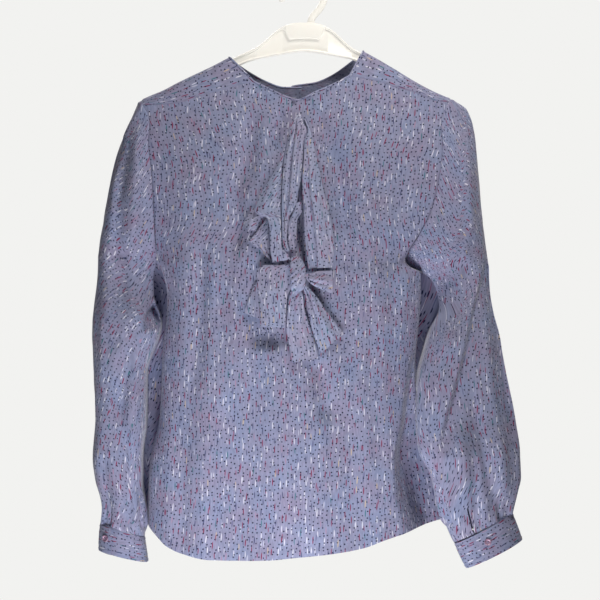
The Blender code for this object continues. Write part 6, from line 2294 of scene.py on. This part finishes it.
@dataclass
class Stitching:
    """Stitches along the hem and both edges of the cuffs.

    Attributes:
        form: Form of the body.
        sleeves: The two sleeves.
        pitch: Distance from stitch to stitch.
        length: Length of a stitch.
        thread: Thickness of the thread.
        hem: Height of the seam over the hem.
        seed: Seed of the stitches' uneven length.
    """

    form: BodyForm
    sleeves: Sequence[SleevePiece]
    pitch: float = 2.6
    length: float = 2.0
    thread: float = 0.38
    hem: float = 10.0
    seed: int = 7

    def inputs(self) -> dict:
        """Named inputs of the nodes, in metres."""
        return {"Pitch": self.pitch * MM, "Stitch length": self.length * MM,
                "Thread": self.thread * MM, "Seed": self.seed}

    def paths(self) -> list:
        """Lines of stitching, as points over the cloth."""
        found = []
        for front in (True, False):
            x = np.linspace(-180, 176, 240)
            z = curve(HEM, "x", "z", x) + self.hem
            line = self.form.surface(x, z, front)
            line[:, 1] += -0.1 if front else 0.1
            found.append(line)
        for sleeve in self.sleeves:
            band = sleeve.band()
            over = band.raised(np.full(band.points.shape[:2], 0.08)).points
            found.extend([over[1], over[-2]])
        return found

    def tree(self, thread: Material) -> NodeTree:
        """Nodes that lay one stitch on each step of the lines.

        Args:
            thread: Finish of the stitches.

        Returns:
            The node group.
        """
        made = bpy.data.node_groups.new("stitching", "GeometryNodeTree")
        face = made.interface
        face.new_socket("Geometry", in_out="INPUT", socket_type="NodeSocketGeometry")
        for name, value in self.inputs().items():
            kind = "NodeSocketInt" if isinstance(value, int) else "NodeSocketFloat"
            face.new_socket(name, in_out="INPUT", socket_type=kind).default_value = value
        face.new_socket("Geometry", in_out="OUTPUT", socket_type="NodeSocketGeometry")
        given = add(made, "NodeGroupInput").outputs
        lines = add(made, "GeometryNodeMeshToCurve", None, {"Mesh": given["Geometry"]})
        steps = add(made, "GeometryNodeResampleCurve", {"mode": "LENGTH"}, {
            "Curve": lines.outputs["Curve"], "Length": given["Pitch"]})
        ball = add(made, "GeometryNodeMeshUVSphere", None, {"Segments": 6, "Rings": 4, "Radius": 0.5})
        slack = add(made, "FunctionNodeRandomValue", {"data_type": "FLOAT"}, {
            2: 0.86, 3: 1.08, "Seed": given["Seed"]}).outputs[1]
        long = add(made, "ShaderNodeMath", {"operation": "MULTIPLY"}, {
            0: given["Stitch length"], 1: slack}).outputs[0]
        size = add(made, "ShaderNodeCombineXYZ", None, {0: long, 1: given["Thread"], 2: given["Thread"]})
        way = add(made, "FunctionNodeAlignRotationToVector", {"axis": "X"}, {
            "Vector": add(made, "GeometryNodeInputTangent").outputs["Tangent"]})
        laid = add(made, "GeometryNodeInstanceOnPoints", None, {
            "Points": steps.outputs["Curve"], "Instance": ball.outputs["Mesh"],
            "Rotation": way.outputs["Rotation"], "Scale": size.outputs[0]})
        real = add(made, "GeometryNodeRealizeInstances", None, {"Geometry": laid.outputs["Instances"]})
        done = add(made, "GeometryNodeSetMaterial", None, {
            "Geometry": real.outputs["Geometry"], "Material": thread})
        add(made, "NodeGroupOutput", None, {"Geometry": done.outputs["Geometry"]})
        return made

    def build(self, wardrobe: Wardrobe) -> list:
        """Lay the stitches and keep them as one plain mesh.

        Args:
            wardrobe: Finishes.

        Returns:
            The object.
        """
        points = []
        edges = []
        for line in self.paths():
            first = len(points)
            points.extend((line * MM).tolist())
            edges.extend([first + k, first + k + 1] for k in range(len(line) - 1))
        mesh = bpy.data.meshes.new("stitch_lines")
        mesh.from_pydata(points, edges, [])
        lines = bpy.data.objects.new("stitch_lines", mesh)
        bpy.context.scene.collection.objects.link(lines)
        tree = self.tree(wardrobe.get(Finish.THREAD))
        maker = lines.modifiers.new("stitching", "NODES")
        maker.node_group = tree
        given = self.inputs()
        for item in tree.interface.items_tree:
            if item.in_out == "INPUT" and item.name in given:
                maker[item.identifier] = given[item.name]
        shown = lines.evaluated_get(bpy.context.evaluated_depsgraph_get())
        plain = bpy.data.meshes.new_from_object(shown)
        bpy.data.objects.remove(lines)
        plain.name = "sewn_stitches"
        stitches = bpy.data.objects.new("sewn_stitches", plain)
        bpy.context.scene.collection.objects.link(stitches)
        return [dress(stitches, "cloth")]


@dataclass
class Studio:
    """Pale floor, soft light and the camera, in metres.

    Attributes:
        centre: Middle of the picture.
        side: Width that the picture takes in at the front of the blouse.
        plane: Depth of that plane.
        away: Distance of the camera.
        floor_z: Height of the floor.
        floor_radius: Half its width.
    """

    centre: tuple[float, float] = (-0.00375, -0.4075)
    side: float = 0.75
    plane: float = -0.03
    away: float = 2.6
    floor_z: float = -1.25
    floor_radius: float = 1.3

    def area(self, name: str, place: tuple, aim: tuple, size: float, watts: float, colour: str,
             spread: float = 180.0) -> None:
        """Add a soft square light.

        Args:
            name: Light name.
            place: Where it stands.
            aim: What it points at.
            size: Width of the light.
            watts: Power.
            colour: Its colour.
            spread: Angle that its beam takes in, in degrees.
        """
        data = bpy.data.lights.new(name, "AREA")
        data.spread = radians(spread)
        data.size = size
        data.energy = watts
        data.color = to_linear(colour)[:3]
        lamp = bpy.data.objects.new(name, data)
        lamp.location = place
        way = Vector(aim) - Vector(place)
        lamp.rotation_euler = way.to_track_quat("-Z", "Y").to_euler()
        bpy.context.scene.collection.objects.link(lamp)

    def camera(self) -> None:
        """Set the camera straight in front."""
        data = bpy.data.cameras.new("camera")
        data.sensor_width = 36.0
        data.lens = 36.0 * self.away / self.side
        eye = bpy.data.objects.new("camera", data)
        eye.location = (self.centre[0], self.plane - self.away, self.centre[1])
        eye.rotation_euler = (pi / 2, 0, 0)
        bpy.context.scene.collection.objects.link(eye)
        bpy.context.scene.camera = eye

    def world(self) -> None:
        """Pale surroundings, brighter to the camera than as a light."""
        made = bpy.data.worlds.new("studio")
        made.use_nodes = True
        tree = made.node_tree
        tree.nodes.clear()
        seen = add(tree, "ShaderNodeLightPath").outputs["Is Camera Ray"]
        strength = add(tree, "ShaderNodeMapRange", None, {
            "Value": seen, "To Min": 0.11, "To Max": 1.0}).outputs["Result"]
        sky = add(tree, "ShaderNodeBackground", None, {
            "Color": to_linear("#F2F2F0"), "Strength": strength})
        add(tree, "ShaderNodeOutputWorld", None, {0: sky.outputs[0]})
        bpy.context.scene.world = made

    def floor(self, wardrobe: Wardrobe) -> None:
        """Lay a round pale floor."""
        sides = 96
        turn = 2 * pi * np.arange(sides) / sides
        rim = np.stack([np.cos(turn) * self.floor_radius, np.sin(turn) * self.floor_radius,
                        np.full(sides, self.floor_z)], axis=-1)
        mesh = bpy.data.meshes.new("floor")
        mesh.from_pydata(rim.tolist(), [], [list(range(sides))])
        mesh.materials.append(wardrobe.get(Finish.FLOOR))
        made = bpy.data.objects.new("floor", mesh)
        bpy.context.scene.collection.objects.link(made)

    def build(self, wardrobe: Wardrobe) -> None:
        """Set the stage.

        Args:
            wardrobe: Finishes.
        """
        self.camera()
        self.world()
        self.floor(wardrobe)
        aim = (0.0, 0.0, -0.42)
        self.area("key", (0.26, -0.42, 0.5), aim, 0.16, 5.8, "#FFFCF7")
        self.area("low", (-0.08, -0.5, -1.15), (-0.02, 0.0, -0.46), 0.4, 2.0, "#F9FAFF", 84.0)
        self.area("fill", (-1.6, -0.9, -0.3), aim, 1.0, 2.0, "#F3F6FF")
        self.area("right", (1.6, 0.1, -0.3), aim, 1.0, 2.4, "#F7F8FF")
        self.area("back", (-0.5, 1.3, 0.5), aim, 0.7, 11.0, "#FFFCF7")
        self.area("back_low", (0.4, 1.5, -1.0), aim, 0.8, 5.0, "#F9FAFF")
        scene = bpy.context.scene
        scene.view_settings.view_transform = "Standard"
        scene.view_settings.look = "None"


def main() -> None:
    """Build the classes in order and report each piece."""
    logging.basicConfig(level=logging.INFO, format="%(message)s")
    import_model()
    wardrobe = Wardrobe()
    form = BodyForm()
    Studio().build(wardrobe)
    panels = Panels(form)
    panels.build(wardrobe)
    sleeves = [SleevePiece(form, left) for left in (True, False)]
    for sleeve in sleeves:
        sleeve.build(wardrobe)
    Tie(form).build(wardrobe)
    Buttons(form).build(wardrobe)
    Hanger().build(wardrobe)
    Stitching(form, sleeves).build(wardrobe)


if __name__ == "__main__":
    main()
